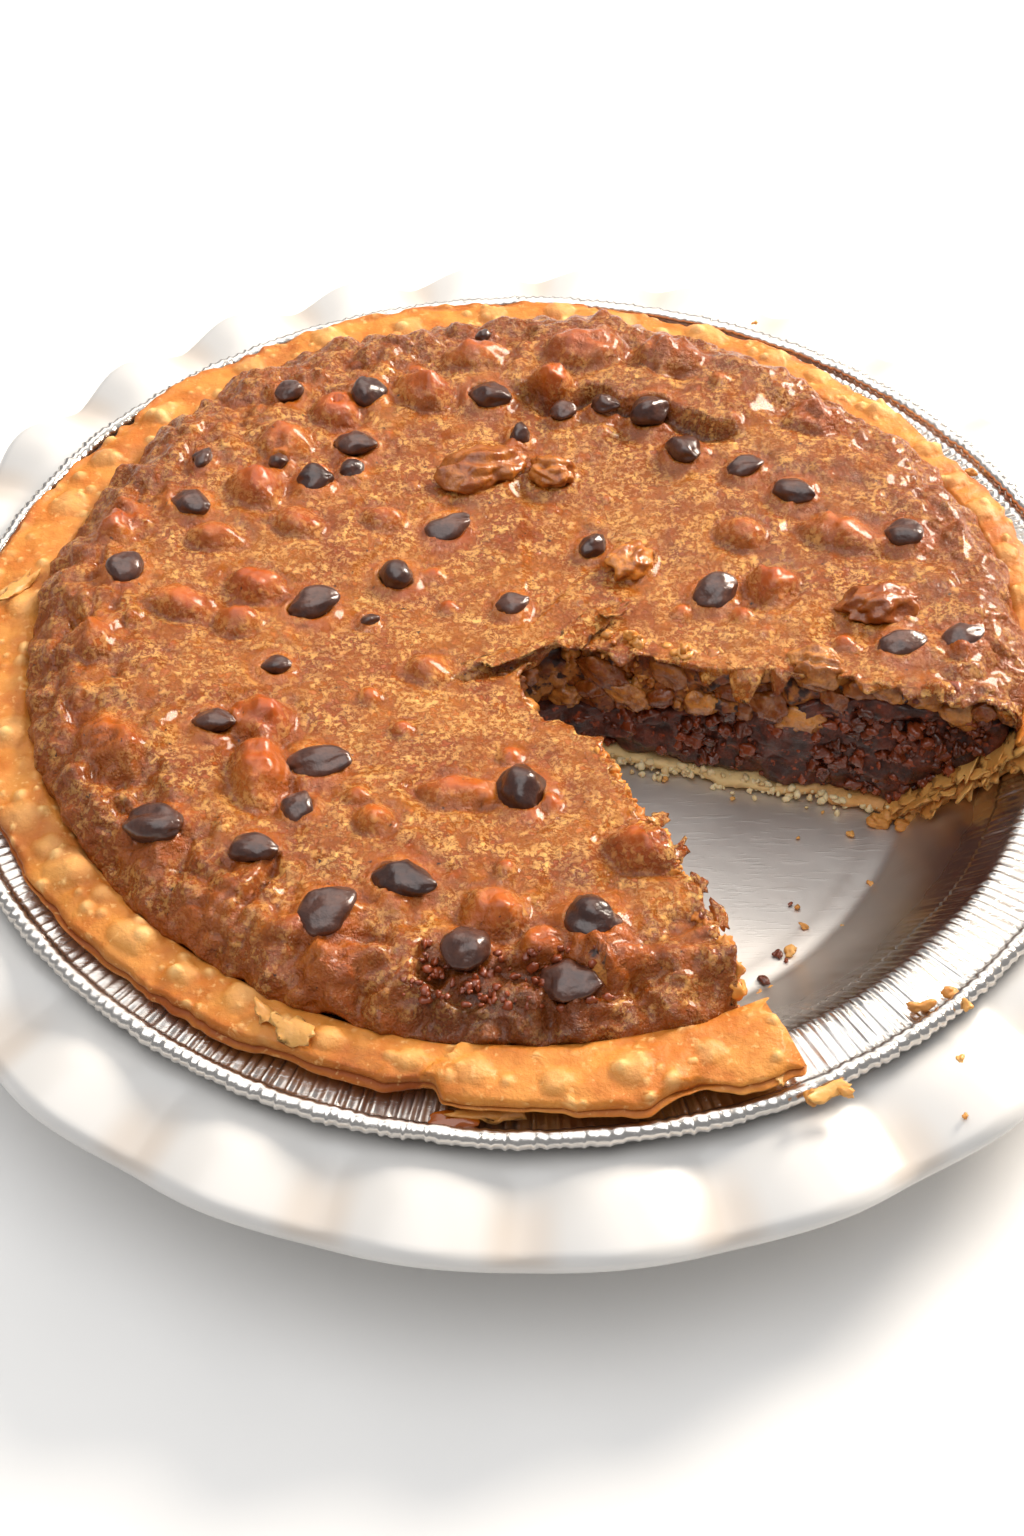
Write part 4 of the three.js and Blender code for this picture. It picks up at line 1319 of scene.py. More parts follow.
@dataclass
class Filling:
    """The chocolate layer, the nut layer and the baked skin over it."""

    nut_pitch: float = 0.9
    chocolate_pitch: float = 1.0
    # cracks in the skin: start, end, depth, where a morsel or a nut left it open
    cracks: list[tuple[tuple[float, float], tuple[float, float], float]] = field(default_factory=lambda: [
        ((-47.4, -66.0), (-49.5, -72.5), 2.2), ((-49.5, -72.5), (-54.0, -79.0), 2.0),
        ((-78.0, -52.5), (-74.0, -56.5), 1.6), ((-93.5, -24.0), (-90.0, -31.0), 1.6),
        ((-96.5, 2.0), (-93.0, -4.0), 1.4), ((-66.0, -67.0), (-60.0, -70.0), 1.3),
        ((-20.0, -92.0), (-12.0, -96.5), 1.2), ((18.0, -92.0), (26.0, -95.0), 1.0),
        ((92.0, -8.0), (97.0, -14.0), 1.4), ((-31.0, 88.0), (-24.0, 84.0), 1.4),
        ((60.0, 66.0), (66.0, 60.0), 1.2), ((86.0, 36.0), (90.0, 28.0), 1.2),
        ((-13.0, -15.0), (-5.0, -12.5), 1.4), ((-5.0, -12.5), (4.0, -8.0), 1.8),
    ])

    def small_bumps(self, flat: np.ndarray) -> np.ndarray:
        """Bumps of the small nuts under the skin, in mm.

        Args:
            flat: places in mm, all at height 0.

        Returns:
            Heights over the plain skin in mm.
        """
        away, tone = grains(flat, 13, 7)
        nuts = hump(np.clip(away / (0.13 + 0.1 * tone), 0, 1)) ** 0.6 * smooth(tone, 0.3, 0.5)
        away, tone = grains(flat, 7.5, 23)
        bits = hump(np.clip(away / (0.12 + 0.12 * tone), 0, 1)) ** 0.6 * smooth(tone, 0.45, 0.6)
        return 1.9 * nuts + bits

    def back_tear(self, flat: np.ndarray) -> tuple[np.ndarray, np.ndarray]:
        """Where the skin has risen and torn along the back: its stretch, and the radius of its foot.

        Args:
            flat: places in mm, all at height 0.

        Returns:
            How far the tear counts at each place, from 0 to 1, and its wandering radius in mm.
        """
        azimuth = azimuths(flat)
        back = smooth(azimuth, 46, 56) * smooth(-azimuth, -96, -86)
        return back, np.hypot(flat[:, 0], flat[:, 1]) + 2.5 * rough(flat, 9, 12, 2)

    def fine_height(self, x: np.ndarray, y: np.ndarray) -> np.ndarray:
        """Height of the skin with the relief too fine for the solid.

        Args:
            x: places along X in mm.
            y: places along Y in mm.

        Returns:
            Heights above the table in mm.
        """
        base = skin_height(x, y)
        flat = np.stack([x, y, np.zeros(len(x))], 1)
        radius, azimuth = np.hypot(x, y), np.degrees(np.arctan2(y, x))
        calm = 0.4 + 0.6 * smooth(radius, 30, 80)
        height = base + calm * (0.6 * rough(flat, 7, 1, 2) + 0.3 * rough(flat, 2.8, 4))
        height = height + self.small_bumps(flat)
        for swelling in SWELLINGS:
            plain, rise = from_middle(x, y, swelling), swelling[-1]
            q = plain * (1 + 0.16 * rough(flat, 3.4, swelling[0]))
            dome = hump(q * 1.1) ** 0.55 * (1 + 0.22 * rough(flat, 2.8, swelling[1], 2))
            height = height + rise * (1.2 * dome - hump(plain))
            height = height - 0.2 * rise * hump((q - 1.0) * 3)
        for cx, cy, length, width, _ in (*MORSELS, *WALNUTS):
            q = np.hypot(x - cx, y - cy) / (0.25 * (length + width))
            height = height + 0.7 * hump((q - 0.95) * 2.4) - 0.35 * hump((q - 1.7) * 1.5)
        craggy = smooth(radius + 5 * rough(flat, 14, 3), 77, 88)
        craggy = craggy * (0.85 - 0.5 * smooth(azimuth, -20, 5) * smooth(-azimuth, -105, -80))
        folds = np.tanh(np.abs(rough(flat, 11, 6, 2)) * 1.5) * 3.2 - 1.5
        creases = np.tanh(np.abs(rough(flat, 5, 8, 2)) * 1.8) * 1.7 - 0.9
        height = height + craggy * (folds + creases + 0.5 * rough(flat, 2.6, 9, 2))
        back, foot = self.back_tear(flat)
        height = height + back * (2.6 * smooth(foot, 71.5, 73) - 2.2 * hump((foot - 70.7) / 3.0) - 1.0)
        for (ax, ay), (bx, by), deep in self.cracks:
            dx, dy = bx - ax, by - ay
            t = np.clip(((x - ax) * dx + (y - ay) * dy) / (dx * dx + dy * dy), 0, 1)
            away = np.hypot(x - ax - t * dx, y - ay - t * dy) + 0.7 * rough(flat, 2.5, 5)
            height = height - deep * hump(np.clip(away, 0, None) / 1.5)
        return height

    def marks(self, obj: bpy.types.Object, points: np.ndarray) -> None:
        """Stores where the skin is toasted, swollen, dry or broken, and where shade is painted on it.

        Args:
            obj: the piece.
            points: places in mm.
        """
        x, y = points[:, 0], points[:, 1]
        radius = np.hypot(x, y)
        swell = np.zeros(len(points))
        for swelling in SWELLINGS:
            dome = hump(from_middle(x, y, swelling) * 0.92) ** 0.8
            swell = np.maximum(swell, dome * min(1.0, swelling[-1] / 3.0))
        flat = points * (1, 1, 0)
        swell = np.maximum(swell, np.clip(0.55 * self.small_bumps(flat), 0, 0.9))
        # painted shade: a ring round the foot of each morsel, darker and with fewer flecks
        halo = np.zeros(len(points))
        for cx, cy, length, width, _ in MORSELS:
            away = np.hypot(x - cx, y - cy) / (0.25 * (length + width))
            halo = np.maximum(halo, hump((away - 1.1) * 1.3))
        toast_and_shade = 0.85 * smooth(radius + 6 * rough(flat, 18, 5), 82, 98)
        # darker towards the back right
        toast_and_shade = toast_and_shade + 0.4 * smooth(0.65 * x + 0.75 * y + 14 * rough(flat, 20, 8), 10, 75)
        # painted shade: the hollows between bumps, found from the relief, are laid darker and with fewer
        # flecks
        hollow, reach = np.zeros(len(points)), 1.9
        seen = points[:, 2] > skin_height(x, y) - 2.5
        around = sum(
            self.fine_height(x[seen] + reach * a, y[seen] + reach * b)
            for a, b in ((0.87, 0.5), (-0.87, 0.5), (0, -1))
        )
        hollow[seen] = np.clip((around / 3 - self.fine_height(x[seen], y[seen])) / 0.5, -1, 1)
        toast_and_shade = toast_and_shade + 0.7 * np.maximum(hollow, 0) - 0.2 * np.maximum(-hollow, 0)
        mark(obj, "toast_and_shade", np.clip(toast_and_shade + 0.3 * halo, 0, 1))
        mark(obj, "swell", np.clip(0.75 * swell, 0, 1) * (1 - smooth(radius, 84, 98)))
        # fewer pale flecks on the swellings and the shoulder, and, as painted shade, round the morsels and in
        # the hollows
        dry = 1.0 - 1.1 * swell - 0.38 * smooth(radius, 82, 96) - 0.7 * halo - 0.5 * np.maximum(hollow, 0)
        mark(obj, "dry", np.clip(dry, 0.08, 1))
        back, foot = self.back_tear(flat)
        mark(obj, "broken", np.maximum(0.45 * crumbled(x, y), 0.6 * back * hump((foot - 71) / 1.6)))

    def tear(
        self, points: np.ndarray, depth: np.ndarray, sunk: np.ndarray
    ) -> tuple[np.ndarray, np.ndarray]:
        """How the knife tore the faces of the cut.

        Args:
            points: places in mm.
            depth: how far each lies under the plain skin, in mm.
            sunk: 1 for places under the skin, 0 for those on it.

        Returns:
            The way each place moves in mm, and how much it lies in a hollow, from 0 to 1.
        """
        moved = np.zeros_like(points)
        deep = np.zeros(len(points))
        for side in Side:
            face = (1 - smooth(np.abs(side.off(points)), 3.5, 6.5)) * sunk * (points[:, :2] @ side.along > 4)
            hollow = smooth(rough(points * (1, 1, 1.3), 7, 3), -0.1, 0.35) * (1 - smooth(depth, 8, 12))
            away, _ = grains(points, 5.0, 2)
            back = 6.0 * hollow + 2.4 * (away - 0.45) + 1.0 * rough(points, 2.6, 5, 2) + 0.5
            moved[:, :2] += (face * back)[:, None] * side.into_pie
            deep = np.maximum(deep, face * hollow)
        return moved, deep

    def build_nuts(self, skin: bpy.types.Material, inside: bpy.types.Material) -> bpy.types.Object:
        """The nut layer under its skin, with the torn face of the cut.

        Args:
            skin: the material of the skin.
            inside: the material of the cut face.

        Returns:
            The piece.
        """
        obj = copy_solid("nut_layer", "nut_filling_and_skin")
        refine(obj, self.nut_pitch, 3)
        points, normals = places(obj), facing(obj)
        x, y = points[:, 0], points[:, 1]
        coarse, fine = skin_height(x, y), self.fine_height(x, y)
        depth = coarse - points[:, 2]
        pit = np.zeros(len(points), bool)
        for cx, cy, length, width, _ in (*MORSELS, *WALNUTS):
            pit |= (np.hypot(x - cx, y - cy) < 0.5 * max(length, width) + 0.6) & (depth > 0.5)
        edge = filling_edge(azimuths(points))
        lid = smooth(normals[:, 2], 0.25, 0.6) * (np.abs(depth) < 2.6) * ~pit
        raised = points[:, 2] + (fine - coarse) * np.exp(-np.maximum(depth, 0) / 3)
        points[:, 2] = np.where(lid > 0, lid * fine + (1 - lid) * raised, raised)
        sunk = smooth(fine - points[:, 2], 1.0, 2.4) * (np.hypot(x, y) < edge - 1.6)
        moved, deep = self.tear(points, depth, sunk)
        points += moved
        shell = smooth(np.hypot(x, y), 88, 93) * (1 - sunk)
        bits, _ = grains(points, 4.2, 8)
        points += normals * (shell * (1.0 * rough(points, 6, 4, 3) + 1.1 * (0.5 - bits)))[:, None]
        skirt = smooth(np.hypot(x, y), edge - 3.5, edge - 1) * (1 - smooth(normals[:, 2], 0.7, 0.95))
        points[:, :2] *= (1 + 1.0 * skirt / np.maximum(np.hypot(x, y), 1))[:, None]
        broken = crumbled(points[:, 0], points[:, 1]) * (normals[:, 2] > 0)
        chips, _ = grains(points, 2.6, 4)
        points += normals * (broken * (1.2 * (0.5 - chips) + 0.4 * rough(points, 1.6, 2)))[:, None]
        put(obj, points)
        self.marks(obj, points)
        # how far each place lies in a torn hollow, which the finish paints dark as shade
        mark(obj, "deep", deep)
        obj.data.materials.append(skin)
        obj.data.materials.append(inside)
        corner = np.empty(len(obj.data.loops), int)
        obj.data.loops.foreach_get("vertex_index", corner)
        under = sunk[corner.reshape(-1, 4)].mean(1) > 0.5
        obj.data.polygons.foreach_set("material_index", under.astype(int))
        keep(obj, skin, ["nut_layer"])
        return obj

    def build_chocolate(self, finish: bpy.types.Material) -> bpy.types.Object:
        """The chocolate layer, torn by the knife.

        Args:
            finish: the material it takes.

        Returns:
            The piece.
        """
        obj = copy_solid("chocolate_layer", "chocolate_filling")
        refine(obj, self.chocolate_pitch, 2)
        points, normals = places(obj), facing(obj)
        for side in Side:
            face = 1 - smooth(np.abs(side.off(points)), 4, 7)
            away, _ = grains(points * (1, 1, 1.5), 7.0, 1)
            torn = 1 - 2 * np.abs(rough(points, 5, 9, 3))
            back = 2.2 * (away - 0.5) - 0.9 * torn
            points[:, :2] += (face * back)[:, None] * side.into_pie
        points[:, 2] += 0.7 * smooth(normals[:, 2], 0.3, 0.8)
        put(obj, points)
        keep(obj, finish, ["chocolate_layer"])
        return obj


@dataclass
class TornSkin:
    """The thin skin that overhangs the cut: a ragged ribbon round the missing slice."""

    step: float = 0.4
    rows: int = 16
    inset: float = 4.0
    thickness: float = 0.6
    # flaps that hang down at the back cut: distance out, half width, extra reach, droop
    flaps: list[tuple[float, float, float, float]] = field(default_factory=lambda: [
        (13.0, 3.5, 2.2, -1.0), (21.0, 4.5, 3.4, 1.2), (30.0, 3.6, 1.4, -0.8), (39.0, 4.2, 4.2, 3.6),
        (47.0, 5.0, 6.4, 5.4), (53.5, 3.0, 4.4, 4.0), (64.0, 3.0, 1.6, -0.6), (72.0, 5.0, 2.6, 1.6),
        (80.0, 3.0, 1.8, 1.0), (90.0, 5.0, 2.0, 1.2),
    ])

    def path(self) -> np.ndarray:
        """Points round the top edge of the missing slice, with the way into the gap.

        Returns:
            x and y in mm and the unit way into the gap, one point a row.
        """
        front, back = Side.FRONT, Side.BACK
        corners = [front.place(s, 0, 0)[:2] for s in (104, 36)]
        corners += [np.array(p, float) for p in ((3.5, -29), (-1.5, -21), (-2, -13), (3, -7))]
        corners += [back.place(s, 0, 0)[:2] for s in (10, 102)]
        rows = []
        for a, b in zip(corners, corners[1:]):
            count = max(1, int(np.linalg.norm(b - a) / self.step))
            for i in range(count):
                rows.append(a + (b - a) * i / count)
        line = np.array([*rows, corners[-1]])
        kernel = np.ones(9) / 9
        padded = np.concatenate([np.repeat(line[:1], 4, 0), line, np.repeat(line[-1:], 4, 0)])
        line = np.stack([np.convolve(padded[:, i], kernel, "valid") for i in (0, 1)], 1)
        ahead = np.gradient(line, axis=0)
        ahead /= np.linalg.norm(ahead, axis=1)[:, None]
        into_gap = np.stack([ahead[:, 1], -ahead[:, 0]], 1)
        middle = np.array([40.0, -32.0])
        into_gap *= np.sign(((middle - line) * into_gap).sum(1))[:, None]
        return np.concatenate([line, into_gap], 1)

    def build(self, filling: Filling, finish: bpy.types.Material) -> bpy.types.Object:
        """Lays the ribbon from just inside the cut to its ragged edge.

        Args:
            filling: gives the height of the skin and its marks.
            finish: the material it takes.

        Returns:
            The piece.
        """
        path = self.path()
        count = len(path)
        obj = grid("torn_skin", count - 1, self.rows)
        unit = places(obj)
        index = np.rint(unit[:, 0] * (count - 1)).astype(int)
        share = unit[:, 1]
        along = np.arange(count) * self.step
        line = np.stack([along, np.zeros(count), np.zeros(count)], 1)
        reach = 0.8 + 1.4 * rough(line, 9, 1) + 1.3 * rough(line, 3.1, 2) + 0.8 * rough(line, 1.2, 3)
        out = path[:, :2] @ Side.BACK.along
        on_back = (np.abs(Side.BACK.off(path)) < 1.5) & (out > 8)
        droop = 0.25 + 0.2 * rough(line, 6, 5)
        for at, width, extra, fall in self.flaps:
            weight = hump((out - at) / width) * on_back
            reach += extra * weight
            droop += fall * weight
        reach = np.maximum(reach, -0.4)
        away = -self.inset + (reach[index] + self.inset) * share
        flat = path[index, :2] + path[index, 2:] * away[:, None]
        over = np.clip(away / np.maximum(reach[index], 0.6), 0, 1.2)
        height = filling.fine_height(flat[:, 0], flat[:, 1]) + 0.06 - 0.4 * (1 - smooth(share, 0, 0.35))
        points = np.stack([flat[:, 0], flat[:, 1], height - droop[index] * over**2], 1)
        points[:, 2] += 0.25 * rough(points, 2.2, 6) * smooth(share, 0.5, 0.8)
        put(obj, points)
        filling.marks(obj, points)
        mark(obj, "dry", 0.6 + 0.4 * smooth(share, 0.4, 0.75))
        apply(obj, "SOLIDIFY", thickness=self.thickness * MM, offset=1.0)
        mend(obj)
        keep(obj, finish)
        return obj


# ------------------------------------------------------------------ toppings, nuts and crumbs


@dataclass
class Morsels:
    """The chocolate morsels: drops that lie on their side, with a soft point."""

    rings: int = 18

    def build(self, finish: bpy.types.Material) -> bpy.types.Object:
        """Shapes each morsel from the same ball.

        Args:
            finish: the material it takes.

        Returns:
            The piece.
        """
        ball, corners = seed_mesh("uv", self.rings)
        shapes, tones = [], []
        for i, (x, y, length, width, turn) in enumerate(MORSELS):
            tone = float(lattice(i, 4, 2))
            pointed = float(lattice(i, 8, 5))
            tip = np.maximum(0, ball[:, 1])
            narrow = 1 - (0.1 + 0.3 * pointed) * tip - 0.15 * pointed * tip**4
            angle = np.arctan2(ball[:, 2], ball[:, 0])
            facets = 1 + 0.1 * np.cos(3 * angle + 6 * tone)
            facets = facets + 0.04 * np.cos(5 * angle + 9 * ball[:, 1] * pointed)
            blunt = np.sign(ball[:, 1]) * np.abs(ball[:, 1]) ** (0.95 + 0.15 * pointed)
            shape = np.stack([ball[:, 0] * narrow * facets, blunt, ball[:, 2] * narrow * facets], 1)
            folds = 0.5 - np.abs(rough(ball + i, 0.9, i))
            crags = 0.2 * rough(ball + i, 1.1, i + 3) + 0.18 * folds + 0.06 * rough(ball + i, 0.35, i)
            shape = shape * (0.95 + crags)[:, None]
            high = MORSEL_HEIGHT * width
            shape = shape * (width / 2, length / 2, high / 2)
            shape = turned(turned(shape, (1, 0, 0), MORSEL_LEAN), (0, 0, 1), turn - 90)
            shapes.append(shape + (x, y, level_at(x, y) + (MORSEL_SUNK - 0.08 * tone) * high))
            tones.append(0.35 * tone)
        obj = gather("chocolate_morsels", shapes, [corners] * len(shapes), tones)
        keep(obj, finish, [f"morsel_{i + 1:02d}" for i in range(len(MORSELS))])
        return obj


@dataclass
class Walnuts:
    """Walnut pieces, bare in the skin and standing in the cut face."""

    level: int = 4
    # at the back cut: distance out, height, length, width, turn in the face, stand-out
    in_cut: list[tuple[float, float, float, float, float, float]] = field(default_factory=lambda: [
        (2.0, 24.0, 8, 6, 70, 0.4), (6.0, 30.0, 8, 5, -30, 0.2), (9.0, 25.5, 7, 6, 10, 0.4),
        (17.5, 34.0, 12, 6.5, -35, 0.3), (22.0, 29.5, 11, 6, -20, 0.8), (14.5, 29.0, 7, 5, 40, 0.2),
        (29.5, 30.5, 8, 6, 30, 0.2), (31.0, 37.0, 9, 6, -50, 0.0), (38.5, 31.5, 9, 7.5, 35, 1.0),
        (43.5, 35.5, 7, 5, -10, 0.2), (47.0, 30.5, 7, 5.5, 60, 0.4), (52.5, 34.0, 10, 7, -25, 0.8),
        (59.5, 31.5, 10, 7, 15, 1.0), (61.0, 44.5, 11, 9, 10, -0.6), (66.0, 37.5, 8, 6, -60, 0.0),
        (70.5, 43.0, 8, 6, 20, -0.4), (76.5, 43.5, 7, 5, -20, 0.0), (84.0, 43.5, 8, 6, 30, 0.0),
        (90.0, 41.0, 8, 6, -35, 0.2), (95.0, 43.0, 6, 5, 0, 0.2), (0.5, 36.5, 8, 6, 40, 7.0),
        (0.5, 31.0, 8, 5.5, -30, 10.0), (-1.0, 37.5, 8, 5.5, 10, 12.0), (1.5, 33.5, 8, 6, 60, 15.5),
        (2.5, 38.0, 8, 5.5, -20, 18.5), (1.0, 27.0, 6, 5, 0, 13.0), (-0.5, 28.0, 7, 5, 20, 6.0),
        (7.0, 35.0, 8, 6, -50, 23.0),
    ])

    def shape(self, ball: np.ndarray, length: float, width: float, height: float, seed: float) -> np.ndarray:
        """One walnut piece about the origin: a furrow down its middle and wandering folds.

        Args:
            ball: vertices of a unit ball.
            length: size along X in mm.
            width: size along Y in mm.
            height: size along Z in mm.
            seed: another number gives another shape.

        Returns:
            Its vertices in mm.
        """
        furrow = 0.2 * hump((ball[:, 1] + 0.25 * np.sin(3 * ball[:, 0] + seed)) / 0.3) * (ball[:, 2] > -0.3)
        folds = 0.24 * (1 - 2 * np.abs(rough(ball + seed, 0.62, seed))) + 0.1 * rough(ball + seed, 0.25, seed)
        shape = ball * (1 - furrow + folds + 0.3 * rough(ball + seed, 1.1, seed + 3))[:, None]
        return shape * (length / 2, width / 2, height / 2)

    def build(self, finish: bpy.types.Material) -> bpy.types.Object:
        """The four pieces that lie bare in the skin.

        Args:
            finish: the material it takes.

        Returns:
            The piece.
        """
        ball, corners = seed_mesh("ico", self.level + 1)
        shapes = []
        for i, (x, y, length, width, turn) in enumerate(WALNUTS):
            nut = turned(self.shape(ball, length, width, WALNUT_HEIGHT * width, i + 1.0), (0, 0, 1), turn)
            shapes.append(nut + (x, y, level_at(x, y) + 0.4))
        obj = gather("bare_walnuts", shapes, [corners] * len(shapes), [0.4, 0.6, 0.9, 0.1])
        keep(obj, finish, [f"walnut_{i + 1}" for i in range(len(WALNUTS))])
        return obj

    def build_in_cut(self, finish: bpy.types.Material) -> bpy.types.Object:
        """The pieces that the knife laid bare.

        Args:
            finish: the material it takes.

        Returns:
            The piece.
        """
        ball, corners = seed_mesh("ico", self.level)
        shapes, tones = [], []
        for i, (out, height, length, width, turn, stand) in enumerate(self.in_cut):
            nut = self.shape(ball, length, width * 0.8, width, i * 1.7 + 5)
            shapes.append(Side.BACK.lay(turned(nut, (0, 1, 0), -turn), out, stand - 1.2, height))
            tones.append(float(lattice(i, 9, 1)) ** 1.5)
        obj = gather("walnuts_in_the_cut", shapes, [corners] * len(shapes), tones)
        keep(obj, finish)
        return obj


@dataclass
class Crumble:
    """Lumps of filling on the torn faces, and the crumbs and flakes in the tin."""

    seed: int = 7
    back_lumps: int = 900
    front_lumps: int = 150
    shoulder_lumps: int = 130
    edge_crumbs: int = 260
    ledge_crumbs: int = 150
    # top of the chocolate layer at the cut: distances out, heights
    chocolate_top: tuple[tuple[float, ...], tuple[float, ...]] = ((0, 24, 73, 93, 101), (23, 23, 40, 40, 37))
    # crumbs: x, y, height of what they lie on, size
    crumbs: list[tuple[float, float, float, float]] = field(default_factory=lambda: [
        (55.1, -49.4, 8.9, 1.2), (56.2, -54.5, 8.9, 2.2), (64.4, -54.6, 8.9, 1.8), (52.5, -60.8, 8.9, 2.8),
        (47.6, -71.1, 8.9, 3.4), (50.8, -68.7, 8.9, 3.0), (54.0, -66.2, 8.9, 2.2), (49.2, -74.7, 8.9, 3.0),
        (70.8, -43.5, 8.9, 1.8), (68.2, -30.1, 8.9, 1.8), (29.8, -14.4, 8.9, 1.6), (45.6, -71.0, 8.9, 2.4),
        (52.4, -72.3, 8.9, 2.4), (60.0, -79.1, 20.0, 1.8), (74.6, -69.8, 22.0, 2.6), (76.6, -62.5, 22.0, 1.8),
        (70.2, -93.4, 36.2, 4.4), (76.2, -90.1, 36.2, 3.2), (78.4, -93.4, 37.2, 2.4),
        (102.1, 54.5, 36.2, 3.0), (48.8, -113.1, 38.0, 3.4), (54.2, -112.1, 38.0, 3.6),
        (76.6, -102.6, 33.4, 2.4), (75.7, -114.2, 33.6, 1.4), (58.1, 116.7, 32.8, 1.6),
        (63.0, -24.0, 8.9, 1.0), (44.0, -20.0, 8.9, 1.2), (57.0, -31.0, 8.9, 0.9), (74.5, -27.2, 9.2, 4.5),
        (79.6, -28.6, 9.4, 4.6), (77.0, -25.5, 10.0, 3.6), (83.3, -24.5, 11.0, 4.6), (82.0, -27.0, 10.6, 4.0),
        (87.0, -24.5, 13.5, 3.6), (89.9, -23.2, 16.0, 3.8),
    ])
    dark_crumbs: list[tuple[float, float, float, float]] = field(default_factory=lambda: [
        (50.1, -61.3, 8.9, 2.2), (53.7, -48.6, 8.9, 1.0), (46.6, -68.0, 8.9, 2.6), (49.5, -73.0, 8.9, 2.4),
        (51.5, -63.0, 8.9, 1.4), (72.5, -45.0, 8.9, 0.8), (45.0, -74.0, 8.9, 2.0),
    ])

    def lumps_at_cut(self, dark: bpy.types.Material, golden: bpy.types.Material) -> None:
        """Small lumps that stand out of the cut faces.

        Args:
            dark: the material of the chocolate lumps.
            golden: the material of the nut lumps.
        """
        draw = np.random.default_rng(self.seed)
        fine, plain = seed_mesh("ico", 3), seed_mesh("ico", 2)
        kinds: dict[str, list] = {"dark": [], "golden": []}
        for side, count in ((Side.BACK, self.back_lumps), (Side.FRONT, self.front_lumps)):
            for _ in range(count):
                out = draw.uniform(8 if side is Side.BACK else 34, 97)
                roof = float(np.interp(out, *self.chocolate_top))
                high = draw.uniform(12.5, 46)
                dark_here = high < roof + draw.normal(0, 1.2) or (out > 72 and draw.random() < 0.65)
                kind = "dark" if dark_here else "golden"
                wall = 84 + (high - 8.5) * 0.8
                if out > wall - 5 or (kind == "golden" and high > 43):
                    continue
                size = draw.uniform(0.4, 1.7)
                ball, corners = fine if size > 1.0 else plain
                jag = jagged(ball, draw, 0.5, 0.7)
                stretch = size * draw.uniform(0.6, 1.4, 3)
                sunk = draw.uniform(-2.4, 0.4) - (1.5 if kind == "golden" else 0)
                kinds[kind].append((jag * stretch + side.place(out, sunk, high), corners, draw.random()))
        ball, corners = plain
        for _ in range(self.shoulder_lumps):
            azimuth, radius = math.radians(draw.uniform(-104, -82)), draw.uniform(88, 99)
            x, y = radius * math.cos(azimuth), radius * math.sin(azimuth)
            jag = jagged(ball, draw, 0.5, 0.7) * (draw.uniform(0.3, 0.95) * draw.uniform(0.6, 1.5, 3))
            place = (x, y, level_at(x, y) + draw.uniform(-0.5, 0.3))
            kinds["dark"].append((jag + place, corners, 0.5 + 0.5 * draw.random()))
        for kind, slot, finish in (("dark", "chocolate_filling", dark), ("golden", "baked_skin", golden)):
            obj = gather(f"{kind}_lumps_at_the_cut", *zip(*kinds[kind]))
            keep(obj, finish)

    def scatter(self, name: str, rows: Sequence[tuple], slot: str, finish: bpy.types.Material) -> None:
        """Crumbs at their places: jagged, flat underneath and turned at random.

        Args:
            name: name of the new piece.
            rows: x, y, height of what it lies on, and size, in mm, for each crumb.
            slot: paint slot of the piece; not used.
            finish: the material it takes.
        """
        draw = np.random.default_rng(self.seed + len(rows))
        ball, corners = seed_mesh("ico", 3)
        shapes = []
        for x, y, level, size in rows:
            jag = jagged(ball, draw, 0.55, 0.75) * (size / 2, size / 2 * draw.uniform(0.5, 0.9), size * 0.26)
            shapes.append(turned(jag, (0, 0, 1), draw.uniform(0, 360)) + (x, y, level + size * 0.2))
        keep(gather(name, shapes, [corners] * len(shapes), list(draw.random(len(rows)))), finish)

    def front_edge(self, finish: bpy.types.Material) -> None:
        """Golden crumbs of skin along the torn upper edge of the front cut.

        Args:
            finish: the material it takes.
        """
        draw = np.random.default_rng(self.seed + 2)
        ball, corners = seed_mesh("ico", 3)
        shapes = []
        for _ in range(self.edge_crumbs):
            out = draw.uniform(36, 101)
            top = level_at(*Side.FRONT.place(out, 0, 0)[:2])
            size = draw.uniform(0.5, 1.7)
            jag = jagged(ball, draw, 0.6, 0.6)
            drop = draw.uniform(0.2, 1) ** 1.5 * 9
            place = Side.FRONT.place(out, draw.uniform(-0.6, 1.5) - 0.08 * drop, top - drop)
            shapes.append(jag * (size * draw.uniform(0.5, 1.4, 3)) + place)
        tones = list(draw.random(len(shapes)))
        obj = gather("golden_crumbs_at_the_front", shapes, [corners] * len(shapes), tones)
        keep(obj, finish)

    def ledge(self, finish: bpy.types.Material) -> None:
        """Pale crumbs broken off the floor pastry along the back cut.

        Args:
            finish: the material it takes.
        """
        draw = np.random.default_rng(self.seed + 1)
        ball, corners = seed_mesh("ico", 2)
        shapes = []
        for _ in range(self.ledge_crumbs):
            out = draw.uniform(14, 84)
            size = draw.uniform(0.3, 1.0)
            jag = jagged(ball, draw, 0.5, 0.8, 1)
            high = draw.uniform(9.2, 11.8)
            into_gap = draw.uniform(0.8, 2.6) if draw.random() < 0.8 else draw.uniform(2.4, 4.5)
            high = high if into_gap < 2.6 else 9.2
            shapes.append(jag * (size * draw.uniform(0.6, 1.3, 3)) + Side.BACK.place(out, into_gap, high))
        tones = list(draw.random(len(shapes)))
        keep(gather("pale_pastry_crumbs", shapes, [corners] * len(shapes), tones), finish)


